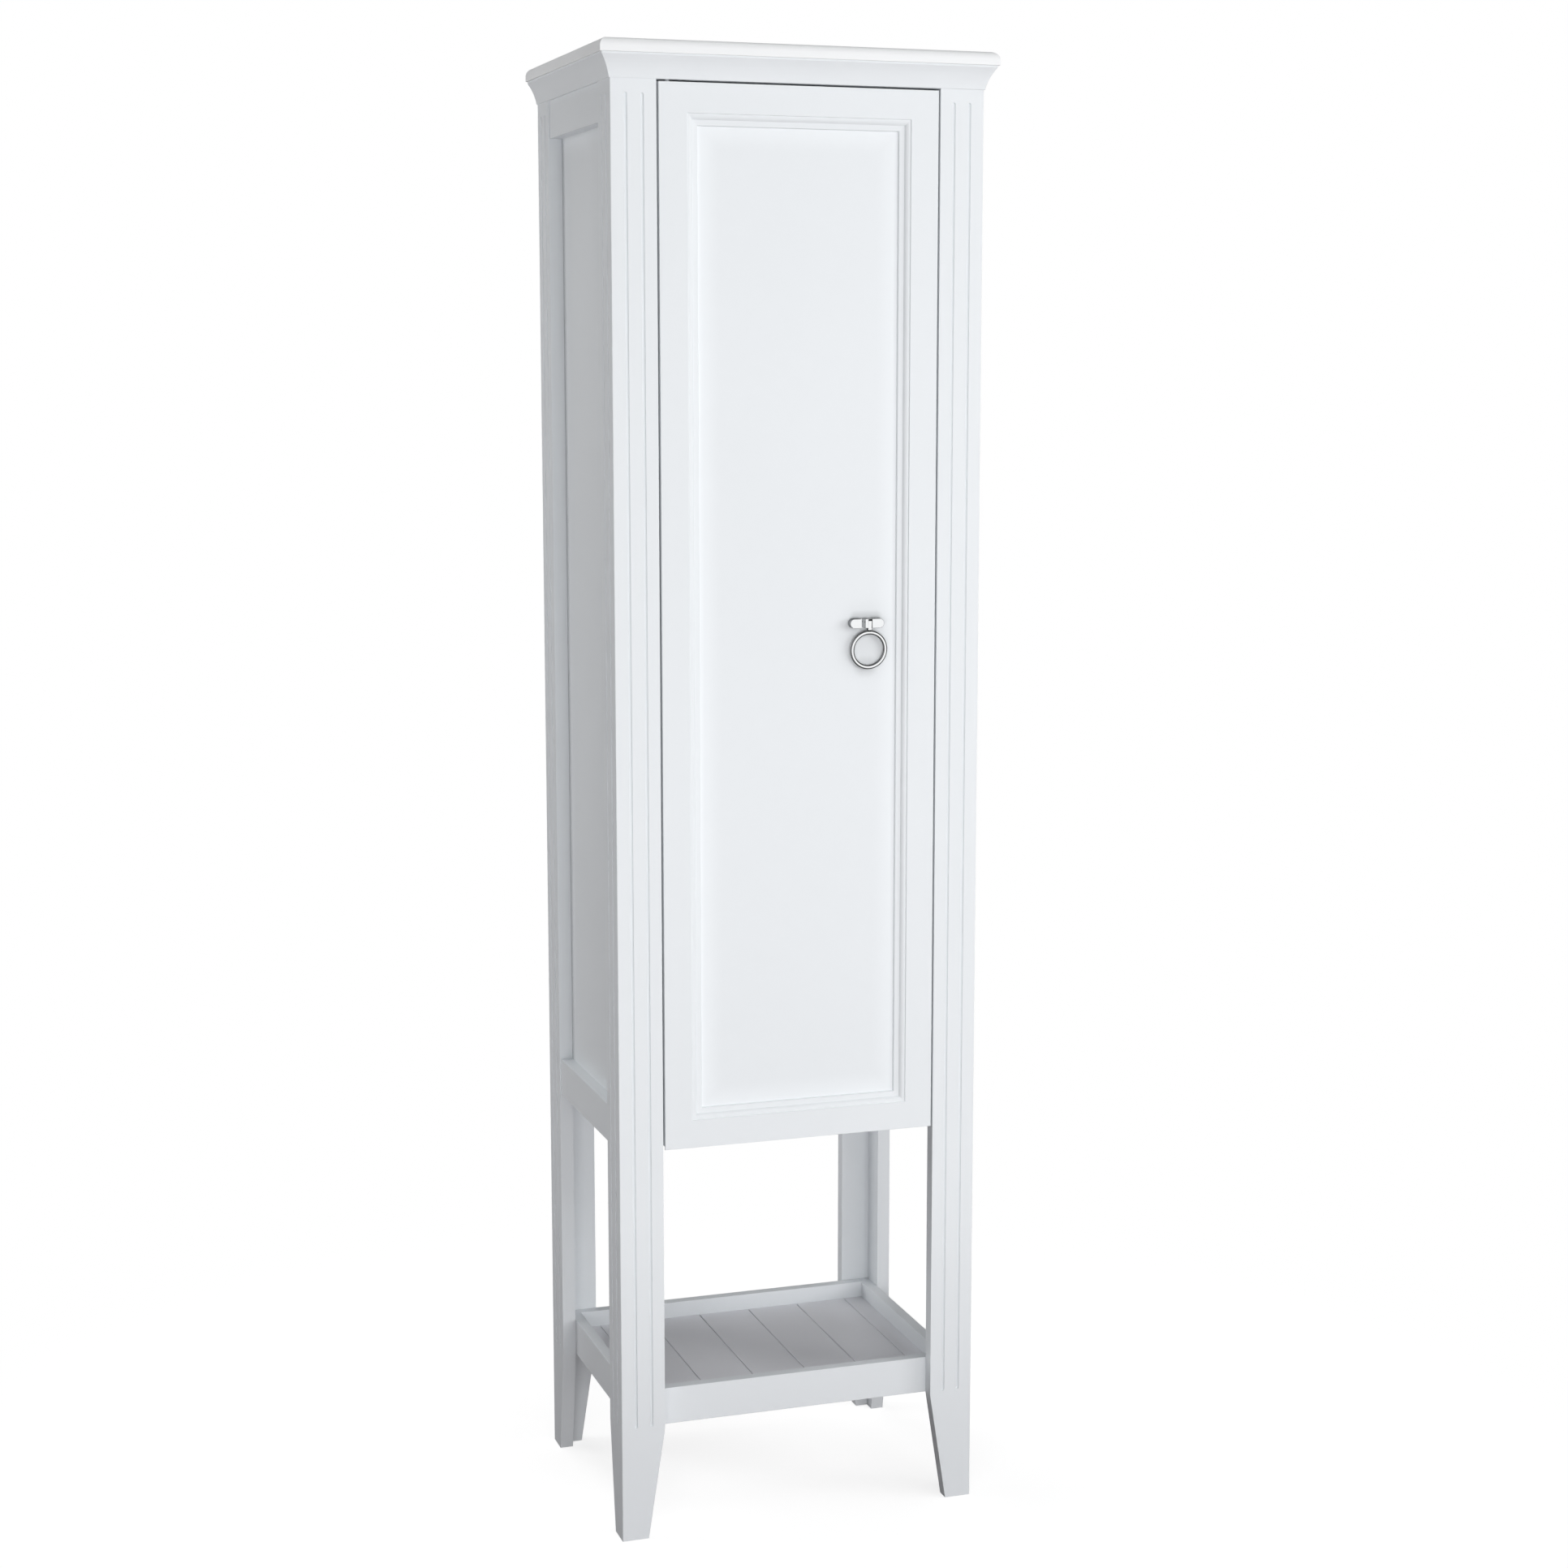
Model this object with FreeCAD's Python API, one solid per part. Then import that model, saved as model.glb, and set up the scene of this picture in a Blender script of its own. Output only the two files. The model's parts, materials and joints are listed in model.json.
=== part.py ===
import FreeCAD
import Part
import math
import os

from FreeCAD import Vector

os.makedirs("parts", exist_ok=True)

# Tall bathroom cabinet: a closed cupboard on four tapered L-shaped posts, with an
# open slatted tray below, a moulded cornice and one inset door on pivot hinges.
# Units are millimetres. +X is the viewer's right, the door faces -Y and +Z is up.
# The origin is the middle of the footprint, on the floor.

# ---- driving dimensions ----
height = 1800.0            # floor to the top of the cornice
body_width = 460.0         # across the outer faces of the posts
body_depth = 350.0         # front face to back face of the posts
cornice_overhang = 15.0    # the top board past the posts, at the front and both sides

post_width = 55.0          # each leg of a post's L
post_board = 17.0          # thickness of the post boards
corner_round = 0.9         # rounding of the post's mitred corner
foot_width = 33.4          # post leg at the floor
taper_top = 139.0          # the feet taper below this level
foot_clear = 0.4           # posts end this far above the floor
glide_height = 2.0         # let into the foot, but for that
glide_radius = 7.5
glide_inset = 9.0          # glide centres from the outer faces of the posts
flute_radius = 2.0
flute_offsets = (18.2, 38.0)   # flute centre lines from the outer corner
flute_low = 143.8
flute_high = 1740.8

cornice_bottom = 1756.5
slab_thick = 16.0          # the top board
slab_round = 10.0          # rounding along its upper edge
moulding_foot = 1.2        # cove moulding past the post face, at its lower edge
moulding_head = 12.5       # and at its upper edge
moulding_fillet = 2.3      # upright strip above the cove
cove_depth = 1.6           # hollow of the cove, measured from its chord

carcass_bottom = 492.5
carcass_board = 16.0
back_board = 6.0
rail_high = 47.0           # lower rails of the sides and back
top_rail_low = 1711.0      # underside of their upper rails
rail_board = 15.0
rail_setback = 2.0         # rail face behind the post face
deck_notch_side = 2.0      # the decks' front notch past the door opening, each side
shelf_levels = (808.5, 1108.5, 1408.5)   # shelf undersides
shelf_front = 26.0         # shelf edge behind the front plane
shelf_gap = 1.0            # play at each end of a shelf
pin_radius = 2.45
pin_hole_radius = 2.5
pin_in_board = 8.0
pin_out = 7.0
pin_hole_spare = 1.0       # hole beyond the end of the pin
pin_inset = 45.0           # pins in from the ends of the shelf's depth
pin_pitch = 32.0
pin_rows_each_way = 2      # spare holes above and below each shelf

tray_bottom = 138.5
tray_top = 184.5
tray_board = 14.0
slat_top = 163.5
slat_thick = 12.0
slat_pitch = 69.3
wide_slats = 5
slat_gap = 0.2
slat_chamfer = 1.2
cleat_depth = 18.0

door_gap = 3.0             # round the door
door_thick = 18.0
frame_face = 33.7          # flat part of the door frame
frame_width = 48.2         # with its moulded inner edge
# points across that edge: distance from the door's edge, depth behind its face
step_end = (34.5, 1.2)
curve_middle = (38.7, 2.1)
curve_end = (41.0, 4.6)
bead_end = (47.2, 5.2)
panel_recess = 7.7         # panel face behind the door face
panel_thick = 6.0
groove_depth = 8.0         # the frame's groove that holds the panel
panel_play = 0.2
door_stop_gap = 6.2        # door back to the carcass edge, clear of the swinging corner

pivot_in = 12.0            # hinge axis from the door's left edge
pivot_back = 8.0           # and behind its face
pivot_pin_radius = 2.5
pivot_clearance = 0.05
bush_radius = 5.0
bush_length = 12.0
bracket_thick = 3.0
bracket_arm = 3.8          # half width of the arm that carries the lower pin
bracket_foot = (30.0, 34.0)
bracket_play = 0.2         # bracket in its pocket under the bottom panel
# screws right of the pin, and behind the foot's front edge
bracket_screws = ((-7.5, 10.0), (7.5, 10.0), (0.0, 25.5))
mortise_play = 0.5         # round the bracket's arm
mortise_above = 0.7        # and above it
mortise_front = 1.3        # and in front of it, where the arm sweeps to the left
pivot_pin_reach = 10.5     # pin length inside its bush
top_plate = (34.0, 12.0, 2.0)
top_plate_end = 8.0        # plate's left end past the pin
top_plate_screws = (9.5, 20.0)   # screws right of the pin

handle_x = 88.5            # middle of the pull's stem
handle_pin_z = 1126.4
handle_pin_behind = 0.9    # hinge pin behind the door face
handle_pin_radius = 1.1
plate_left = 63.1
plate_right = 106.2
plate_mid_z = 1124.8
plate_high = 11.4
plate_front = -2.1         # negative: the plate's face is in front of the door face
plate_chamfer = 0.4
channel_left = 76.4
channel_floor = 5.0        # channel floor behind the door face
lug_width = 3.4
stem_width = 4.3
stem_play = 0.45
stem_thick = 3.4
stem_length = 13.0         # hinge pin to the middle of the ring's wire
flare_start = 7.6          # the stem widens from here, measured from the pin
flare_end = 10.0           # to here, where its foot stands clear of the ring
flare_width = 5.0
neck_width = 3.2           # between the stem's foot and the ring
knuckle_radius = 2.5
wire_radius = 2.4
ring_width = 47.2          # outside diameter
ring_play = 0.3            # ring to the door panel it rests on
handle_screw_radius = 2.0
handle_screw_spacing = 30.0
handle_screw_in_plate = 6.0
handle_screw_head = (4.0, 2.2)   # radius, height
handle_pin_short = 0.6     # pin end inside the outer face of the lug
handle_pin_grip = 3.0      # pin into the plate on the other side

screw_radius = 1.8
screw_head_radius = 3.6
screw_head_high = 1.8
screw_length = 12.0
wall_hole_radius = 2.75
wall_hole_spacing = 60.0
wall_bracket_board = 2.0
wall_bracket_size = (90.0, 24.0, 30.0)
wall_bracket_screw_x = 30.0
wall_hole_drop = 18.0      # wall screws below the top panel

catch_size = (46.0, 18.0, 12.0)
catch_ear = 10.0           # screw ear at each end of the catch
catch_ear_high = 3.0
catch_screw_y = 11.5       # screws behind the catch's front
catch_x = 132.0
strike_size = (30.0, 1.5, 11.0)
strike_drop = 11.5         # strike plate's lower edge below the top panel
strike_screw_x = 10.0
touch_gap = 0.3            # catch and bumpers to the closed door
bumper_radius = 4.0
bumper_places = (-115.0, 163.0)

overrun = 5.0              # cutting tools run past the piece by this much
sides = (-1, 1)            # left, right

# ---- levels and planes worked out from them ----
half_width = body_width / 2
front = cornice_overhang - (body_depth + cornice_overhang) / 2
back = front + body_depth
inner_x = half_width - post_board          # inner faces of the side boards
opening_x = half_width - post_width        # inner edges of the front boards
panel_x = inner_x - carcass_board          # inner faces of the side panels
slab_bottom = height - slab_thick
inner_front = front + post_board
inner_back = back - post_board
back_panel_front = inner_back - back_board
door_x = opening_x - door_gap
door_low = carcass_bottom
door_high = cornice_bottom - door_gap
carcass_edge = front + door_thick + door_stop_gap
under_top = cornice_bottom - carcass_board   # underside of the top panel
pivot_x = -door_x + pivot_in
pivot_y = front + pivot_back
bracket_low = carcass_bottom + bracket_play
bracket_foot_y = carcass_edge + 5.0
mortise_top = door_low + bracket_thick + mortise_above
catch_front = front + door_thick + strike_size[1] + touch_gap


def block(x0, x1, y0, y1, z0, z1):
    """A box between two corners."""
    return Part.makeBox(x1 - x0, y1 - y0, z1 - z0, Vector(x0, y0, z0))


def prism(points, direction):
    """A closed outline of vectors, swept along a direction."""
    face = Part.Face(Part.makePolygon(list(points) + [points[0]]))
    return face.extrude(direction)


def flat_prism(outline, z0, z1):
    """An outline in plan (x, y), raised from z0 to z1."""
    return prism([Vector(x, y, z0) for x, y in outline], Vector(0, 0, z1 - z0))


def rod(start, end, radius):
    """A round bar between two points."""
    start = Vector(*start)
    along = Vector(*end) - start
    return Part.makeCylinder(radius, along.Length, start, along)


def mirror_x(shape):
    return shape.mirror(Vector(0, 0, 0), Vector(1, 0, 0))


def save(shape, name):
    shape.exportStep("parts/" + name + ".step")


def group(solids):
    return Part.makeCompound(solids)


# ---- posts ----

def flute_cutter(x, y):
    """A round-nosed groove tool, standing on the post's surface at x, y."""
    low = flute_low + flute_radius
    high = flute_high - flute_radius
    tool = rod((x, y, low), (x, y, high), flute_radius)
    for z in (low, high):
        tool = tool.fuse(Part.makeSphere(flute_radius, Vector(x, y, z)))
    return tool


def glide_set():
    return [rod((x, y, 0), (x, y, glide_height), glide_radius)
            for x in (-half_width + glide_inset, half_width - glide_inset)
            for y in (front + glide_inset, back - glide_inset)]


def corner_tool(outer, inward):
    """Takes the sharp edge off the corner of a left post, at -X and the outer plane."""
    x = -half_width + corner_round
    y = outer + inward * corner_round
    square = block(-half_width - overrun, x, min(outer - inward * overrun, y),
                   max(outer - inward * overrun, y), 0, cornice_bottom + overrun)
    return square.cut(rod((x, y, -overrun), (x, y, cornice_bottom + 2 * overrun),
                          corner_round))


def left_face_board(at_front):
    """Board across the front (or back) of a left post, mitred at the corner."""
    outer = front if at_front else back
    inward = 1 if at_front else -1
    inner = outer + inward * post_board
    board = flat_prism([(-half_width, outer), (-opening_x, outer),
                        (-opening_x, inner), (-inner_x, inner)],
                       foot_clear, cornice_bottom)
    board = board.cut([corner_tool(outer, inward)] + glide_set())
    low_y = min(outer, inner) - overrun
    wedge = prism([Vector(-half_width + foot_width, low_y, 0),
                   Vector(-opening_x, low_y, taper_top),
                   Vector(-opening_x + overrun, low_y, taper_top),
                   Vector(-opening_x + overrun, low_y, 0)],
                  Vector(0, post_board + 2 * overrun, 0))
    board = board.cut(wedge)
    if at_front:
        for offset in flute_offsets:
            board = board.cut(flute_cutter(-half_width + offset, outer))
    return board


def left_side_board(at_front):
    """Board along the left side of a post, mitred to the face board."""
    outer = front if at_front else back
    inward = 1 if at_front else -1
    board = flat_prism([(-half_width, outer),
                        (-inner_x, outer + inward * post_board),
                        (-inner_x, outer + inward * post_width),
                        (-half_width, outer + inward * post_width)],
                       foot_clear, cornice_bottom)
    board = board.cut([corner_tool(outer, inward)] + glide_set())
    low_x = -half_width - overrun
    edge = outer + inward * post_width
    past = edge + inward * overrun
    wedge = prism([Vector(low_x, outer + inward * foot_width, 0),
                   Vector(low_x, edge, taper_top), Vector(low_x, past, taper_top),
                   Vector(low_x, past, 0)], Vector(post_board + 2 * overrun, 0, 0))
    board = board.cut(wedge)
    for offset in flute_offsets:
        board = board.cut(flute_cutter(-half_width, outer + inward * offset))
    return board


def build_posts():
    for place, at_front in (("front", True), ("back", False)):
        for part, maker in (("face", left_face_board), ("side", left_side_board)):
            board = maker(at_front)
            save(board, place + "_left_post_" + part)
            save(mirror_x(board), place + "_right_post_" + part)
    save(group(glide_set()), "foot_glides")


# ---- cornice ----

def cove_profile():
    """Moulding section in the YZ plane, for the front run; outward is -Y."""
    foot = Vector(0, front - moulding_foot, cornice_bottom)
    head = Vector(0, front - moulding_head, slab_bottom - moulding_fillet)
    chord = head - foot
    hollow = Vector(0, -chord.z, chord.y)
    hollow.normalize()
    middle = (foot + head) * 0.5 - hollow * cove_depth
    cove = Part.Arc(foot, middle, head).toShape()
    inner_low = Vector(0, inner_front, cornice_bottom)
    inner_high = Vector(0, inner_front, slab_bottom)
    outer_high = Vector(0, front - moulding_head, slab_bottom)
    lines = [Part.makeLine(head, outer_high), Part.makeLine(outer_high, inner_high),
             Part.makeLine(inner_high, inner_low), Part.makeLine(inner_low, foot)]
    return Part.Face(Part.Wire([cove] + lines))


def build_cornice():
    far = cornice_overhang + overrun
    reach = half_width + far
    face = cove_profile()
    run = face.copy()
    run.translate(Vector(-reach, 0, 0))
    run = run.extrude(Vector(2 * reach, 0, 0))
    mitre = flat_prism([(-half_width - far, front - far), (half_width + far, front - far),
                        (inner_x, inner_front), (-inner_x, inner_front)],
                       cornice_bottom, slab_bottom)
    front_run = run.common(mitre)
    save(front_run.cut([top_plate_block()] + top_plate_screw_set()), "cornice_front")

    side = face.copy()
    side.translate(Vector(-half_width, -front, 0))
    side.rotate(Vector(-half_width, 0, 0), Vector(0, 0, 1), -90)
    side.translate(Vector(0, front - far, 0))
    side = side.extrude(Vector(0, body_depth + far, 0))
    side_mitre = flat_prism([(-half_width - far, front - far), (-inner_x, inner_front),
                             (-inner_x, back), (-half_width - far, back)],
                            cornice_bottom, slab_bottom)
    side = side.common(side_mitre)
    save(side, "cornice_left")
    save(mirror_x(side), "cornice_right")
    save(block(-inner_x, inner_x, inner_back, back, cornice_bottom, slab_bottom),
         "cornice_back_rail")
    save(top_slab(), "cornice_slab")


def rounded_end(edge, across):
    """Four points up the slab's edge, square below and rounded above.
    across maps (distance, z) to a point."""
    turn = slab_round * (1 - math.sqrt(0.5))
    return (across(edge, slab_bottom), across(edge, height - slab_round),
            across(edge + turn, height - turn), across(edge + slab_round, height))


def top_slab():
    """The top board; two crossed sweeps give it mitred, rounded edges."""
    slab_x = half_width + cornice_overhang
    slab_y = front - cornice_overhang
    a, b, c, d = rounded_end(slab_y, lambda s, z: Vector(-slab_x, s, z))
    back_high = Vector(-slab_x, back, height)
    back_low = Vector(-slab_x, back, slab_bottom)
    section = Part.Wire([Part.makeLine(a, b), Part.Arc(b, c, d).toShape(),
                         Part.makeLine(d, back_high), Part.makeLine(back_high, back_low),
                         Part.makeLine(back_low, a)])
    lengthwise = Part.Face(section).extrude(Vector(2 * slab_x, 0, 0))
    a, b, c, d = rounded_end(-slab_x, lambda s, z: Vector(s, slab_y, z))
    e, f, g, h = rounded_end(-slab_x, lambda s, z: Vector(-s, slab_y, z))
    section = Part.Wire([Part.makeLine(a, b), Part.Arc(b, c, d).toShape(),
                         Part.makeLine(d, h), Part.Arc(h, g, f).toShape(),
                         Part.makeLine(f, e), Part.makeLine(e, a)])
    crosswise = Part.Face(section).extrude(Vector(0, back - slab_y, 0))
    return lengthwise.common(crosswise)


# ---- carcass ----

def shelf_pin_places():
    """Centre lines of the shelf pins: y positions, then each shelf's level."""
    depth_front = front + shelf_front + pin_inset
    depth_back = back_panel_front - pin_inset
    for level in shelf_levels:
        for y in (depth_front, depth_back):
            yield y, level - pin_radius


def left_side_panel():
    panel = block(-inner_x, -panel_x, inner_front, inner_back,
                  carcass_bottom, cornice_bottom)
    holes = []
    for y, z in shelf_pin_places():
        for step in range(-pin_rows_each_way, pin_rows_each_way + 1):
            level = z + step * pin_pitch
            holes.append(rod((-panel_x - pin_in_board - pin_hole_spare, y, level),
                             (-panel_x + overrun, y, level), pin_hole_radius))
    return panel.cut(holes)


def deck(z0):
    """Top or bottom board of the carcass, set back where the door closes."""
    board = block(-panel_x, panel_x, inner_front, back_panel_front,
                  z0, z0 + carcass_board)
    notch_x = opening_x + deck_notch_side
    return board.cut(block(-notch_x, notch_x, inner_front - overrun, carcass_edge,
                           z0 - overrun, z0 + carcass_board + overrun))


def wall_holes():
    """Both run from inside the wall bracket right through the back."""
    z = under_top - wall_hole_drop
    y0 = back_panel_front - wall_bracket_size[1]
    return [rod((x, y0, z), (x, back + overrun, z), wall_hole_radius)
            for x in (-wall_hole_spacing / 2, wall_hole_spacing / 2)]


def build_carcass():
    panel = left_side_panel()
    save(panel, "left_side_panel")
    save(mirror_x(panel), "right_side_panel")

    bracket_pocket = bracket_plate(play=bracket_play, low=carcass_bottom - overrun)
    save(deck(carcass_bottom).cut([bracket_pocket] + bracket_screw_set()), "bottom_panel")
    save(deck(under_top).cut(catch_screw_set() + wall_bracket_screw_set()), "top_panel")

    back_panel = block(-panel_x, panel_x, back_panel_front, inner_back,
                       carcass_bottom, cornice_bottom)
    save(back_panel.cut(wall_holes()), "back_panel")

    low_top = carcass_bottom + rail_high
    for name, z0, z1 in (("bottom_rail", carcass_bottom, low_top),
                         ("top_rail", top_rail_low, cornice_bottom)):
        side = block(-half_width + rail_setback, -inner_x, front + post_width,
                     back - post_width, z0, z1)
        save(side, "left_" + name)
        save(mirror_x(side), "right_" + name)
        rear = block(-opening_x, opening_x, inner_back, inner_back + rail_board, z0, z1)
        if name == "top_rail":
            rear = rear.cut(wall_holes())
        save(rear, "back_" + name)

    for number, level in enumerate(shelf_levels, 1):
        shelf = block(-panel_x + shelf_gap, panel_x - shelf_gap, front + shelf_front,
                      back_panel_front - shelf_gap, level, level + carcass_board)
        save(shelf, "shelf_%d" % number)

    pins = []
    for y, z in shelf_pin_places():
        for side in sides:
            pins.append(rod((side * (panel_x + pin_in_board), y, z),
                            (side * (panel_x - pin_out), y, z), pin_radius))
    save(group(pins), "shelf_pins")


# ---- slatted tray ----

def build_tray():
    inner_tray_x = inner_x - tray_board
    front_inside = inner_front + tray_board
    back_inside = inner_back - tray_board
    save(block(-inner_x, inner_x, inner_front, front_inside, tray_bottom, tray_top),
         "tray_front_rail")
    save(block(-inner_x, inner_x, back_inside, inner_back, tray_bottom, tray_top),
         "tray_back_rail")
    side = block(-inner_x, -inner_tray_x, front_inside, back_inside,
                 tray_bottom, tray_top)
    save(side, "tray_left_rail")
    save(mirror_x(side), "tray_right_rail")

    slat_bottom = slat_top - slat_thick
    cleats = [block(-inner_tray_x, inner_tray_x, y0, y0 + cleat_depth,
                    tray_bottom, slat_bottom)
              for y0 in (front_inside, back_inside - cleat_depth)]
    save(group(cleats), "tray_cleats")

    joints = [(step - wide_slats / 2) * slat_pitch for step in range(wide_slats + 1)]
    edges = [-inner_tray_x] + joints + [inner_tray_x]
    for number, (left_edge, right_edge) in enumerate(zip(edges, edges[1:]), 1):
        x0 = left_edge + (slat_gap / 2 if number > 1 else 0)
        x1 = right_edge - (slat_gap / 2 if right_edge < inner_tray_x else 0)
        section = [Vector(x0, front_inside, slat_bottom),
                   Vector(x1, front_inside, slat_bottom),
                   Vector(x1, front_inside, slat_top - slat_chamfer),
                   Vector(x1 - slat_chamfer, front_inside, slat_top),
                   Vector(x0 + slat_chamfer, front_inside, slat_top),
                   Vector(x0, front_inside, slat_top - slat_chamfer)]
        save(prism(section, Vector(0, back_inside - front_inside, 0)),
             "tray_slat_%d" % number)


# ---- door ----

def frame_section():
    """Section of a door frame member: s runs in from the door's edge and t back
    from its face. The inner edge is moulded and grooved for the panel."""
    panel_back = panel_recess + panel_thick
    groove = frame_width - groove_depth
    return {
        "before": [(0, 0), (frame_face, 0), step_end],
        "curve": (step_end, curve_middle, curve_end),
        "after": [curve_end, bead_end, (frame_width, panel_recess),
                  (groove, panel_recess), (groove, panel_back),
                  (frame_width, panel_back), (frame_width, door_thick),
                  (0, door_thick), (0, 0)],
    }


def frame_member(place, direction, cutter):
    """One mitred member: place maps (s, t) to a point at the start of the run."""
    section = frame_section()
    edges = []
    for run in (section["before"], section["after"]):
        for start, end in zip(run, run[1:]):
            edges.append(Part.makeLine(place(*start), place(*end)))
    curve = [place(*point) for point in section["curve"]]
    edges.insert(2, Part.Arc(*curve).toShape())
    face = Part.Face(Part.Wire(edges))
    return face.extrude(direction).common(cutter)


def mitre_cutter(corners):
    """Keeps the part of a member inside its mitres; corners are (x, z)."""
    points = [Vector(x, front - overrun, z) for x, z in corners]
    return prism(points, Vector(0, door_thick + 2 * overrun, 0))


def mortise():
    """Housing in the door's lower hinge corner, swept clear by the bracket arm."""
    low = door_low - overrun
    high = mortise_top
    wide = bracket_arm + mortise_play
    rear = front + door_thick + overrun
    tool = rod((pivot_x, pivot_y, low), (pivot_x, pivot_y, high), wide)
    tool = tool.fuse(block(pivot_x - wide, pivot_x + wide, pivot_y, rear, low, high))
    return tool.fuse(block(-door_x - overrun, pivot_x, pivot_y - wide - mortise_front,
                           rear, low, high))


def bush_spans():
    return ((mortise_top, mortise_top + bush_length),
            (door_high - bush_length, door_high))


def build_door():
    tall = door_high - door_low
    core_low = door_low + door_x
    core_high = door_high - door_x
    left = frame_member(lambda s, t: Vector(-door_x + s, front + t, door_low),
                        Vector(0, 0, tall),
                        mitre_cutter([(-door_x, door_low), (0, core_low),
                                      (0, core_high), (-door_x, door_high)]))
    holes = [rod((pivot_x, pivot_y, z0), (pivot_x, pivot_y, z1), bush_radius)
             for z0, z1 in bush_spans()]
    save(left.cut(holes + [mortise()]), "door_left_stile")
    save(mirror_x(left), "door_right_stile")

    bottom = frame_member(lambda s, t: Vector(-door_x, front + t, door_low + s),
                          Vector(2 * door_x, 0, 0),
                          mitre_cutter([(-door_x, door_low), (door_x, door_low),
                                        (0, core_low)]))
    save(bottom.cut(holes + [mortise()]), "door_bottom_rail")
    top = frame_member(lambda s, t: Vector(-door_x, front + t, door_high - s),
                       Vector(2 * door_x, 0, 0),
                       mitre_cutter([(-door_x, door_high), (door_x, door_high),
                                     (0, core_high)]))
    save(top.cut(holes + strike_screw_set()), "door_top_rail")

    inset = frame_width - groove_depth + panel_play
    panel = block(-door_x + inset, door_x - inset, front + panel_recess,
                  front + panel_recess + panel_thick, door_low + inset, door_high - inset)
    save(panel.cut(handle_screw_holes()), "door_panel")

    bushes = []
    for z0, z1 in bush_spans():
        bush = rod((pivot_x, pivot_y, z0), (pivot_x, pivot_y, z1), bush_radius)
        bore = rod((pivot_x, pivot_y, z0 - overrun), (pivot_x, pivot_y, z1 + overrun),
                   pivot_pin_radius + pivot_clearance)
        bushes.append(bush.cut(bore))
    save(group(bushes), "pivot_bushes")


# ---- screws ----

def pan_head_screw(place, direction):
    """Its head seats at place and its shank runs along direction."""
    place = Vector(*place)
    along = Vector(*direction)
    shank = Part.makeCylinder(screw_radius, screw_length, place, along)
    head = Part.makeCylinder(screw_head_radius, screw_head_high, place, along * -1)
    return shank.fuse(head).removeSplitter()


def flat_head_screw(place, direction):
    """Its head is flush with place and narrows along direction."""
    place = Vector(*place)
    along = Vector(*direction)
    head = Part.makeCone(screw_head_radius, screw_radius, screw_head_high, place, along)
    shank = Part.makeCylinder(screw_radius, screw_length, place, along)
    return shank.fuse(head).removeSplitter()


def bracket_screw_set():
    return [flat_head_screw((pivot_x + dx, bracket_foot_y + dy, bracket_low), (0, 0, 1))
            for dx, dy in bracket_screws]


def top_plate_screw_set():
    return [flat_head_screw((pivot_x + dx, pivot_y, cornice_bottom), (0, 0, 1))
            for dx in top_plate_screws]


def catch_screw_set():
    wide, deep, high = catch_size
    y = catch_front + catch_screw_y
    reach = wide / 2 - catch_ear / 2
    return [pan_head_screw((catch_x + side * reach, y, under_top - catch_ear_high),
                           (0, 0, 1)) for side in sides]


def strike_screw_set():
    z = under_top - strike_drop + strike_size[2] / 2
    face = front + door_thick + strike_size[1]
    return [flat_head_screw((catch_x + side * strike_screw_x, face, z), (0, -1, 0))
            for side in sides]


def wall_bracket_screw_set():
    y = back_panel_front - wall_bracket_size[1] / 2
    return [pan_head_screw((side * wall_bracket_screw_x, y,
                            under_top - wall_bracket_board), (0, 0, 1))
            for side in sides]


def build_screws():
    screws = (bracket_screw_set() + top_plate_screw_set() + catch_screw_set()
              + wall_bracket_screw_set())
    save(group(screws), "hardware_screws")
    save(group(strike_screw_set()), "strike_screws")


# ---- pivot hinges ----

def bracket_plate(play=0.0, low=None):
    """Lower bracket: an arm from the pin back to a foot under the bottom panel."""
    z0 = bracket_low if low is None else low
    z1 = bracket_low + bracket_thick + play
    wide, deep = bracket_foot
    arm = bracket_arm + play
    plate = rod((pivot_x, pivot_y, z0), (pivot_x, pivot_y, z1), arm)
    plate = plate.fuse(block(pivot_x - arm, pivot_x + arm, pivot_y, bracket_foot_y + 1,
                             z0, z1))
    foot = block(pivot_x - wide / 2 - play, pivot_x + wide / 2 + play,
                 bracket_foot_y - play, bracket_foot_y + deep + play, z0, z1)
    return plate.fuse(foot).removeSplitter()


def top_plate_block():
    long, wide, deep = top_plate
    x0 = pivot_x - top_plate_end
    return block(x0, x0 + long, pivot_y - wide / 2, pivot_y + wide / 2,
                 cornice_bottom, cornice_bottom + deep)


def build_pivots():
    low_bush, high_bush = bush_spans()
    low_pin = rod((pivot_x, pivot_y, bracket_low),
                  (pivot_x, pivot_y, low_bush[0] + pivot_pin_reach), pivot_pin_radius)
    save(bracket_plate().fuse(low_pin).cut(bracket_screw_set()), "bottom_pivot_bracket")
    high_pin = rod((pivot_x, pivot_y, high_bush[1] - pivot_pin_reach),
                   (pivot_x, pivot_y, cornice_bottom + top_plate[2]), pivot_pin_radius)
    save(top_plate_block().fuse(high_pin).cut(top_plate_screw_set()), "top_pivot_plate")


# ---- catch, bumpers and wall bracket ----

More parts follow.
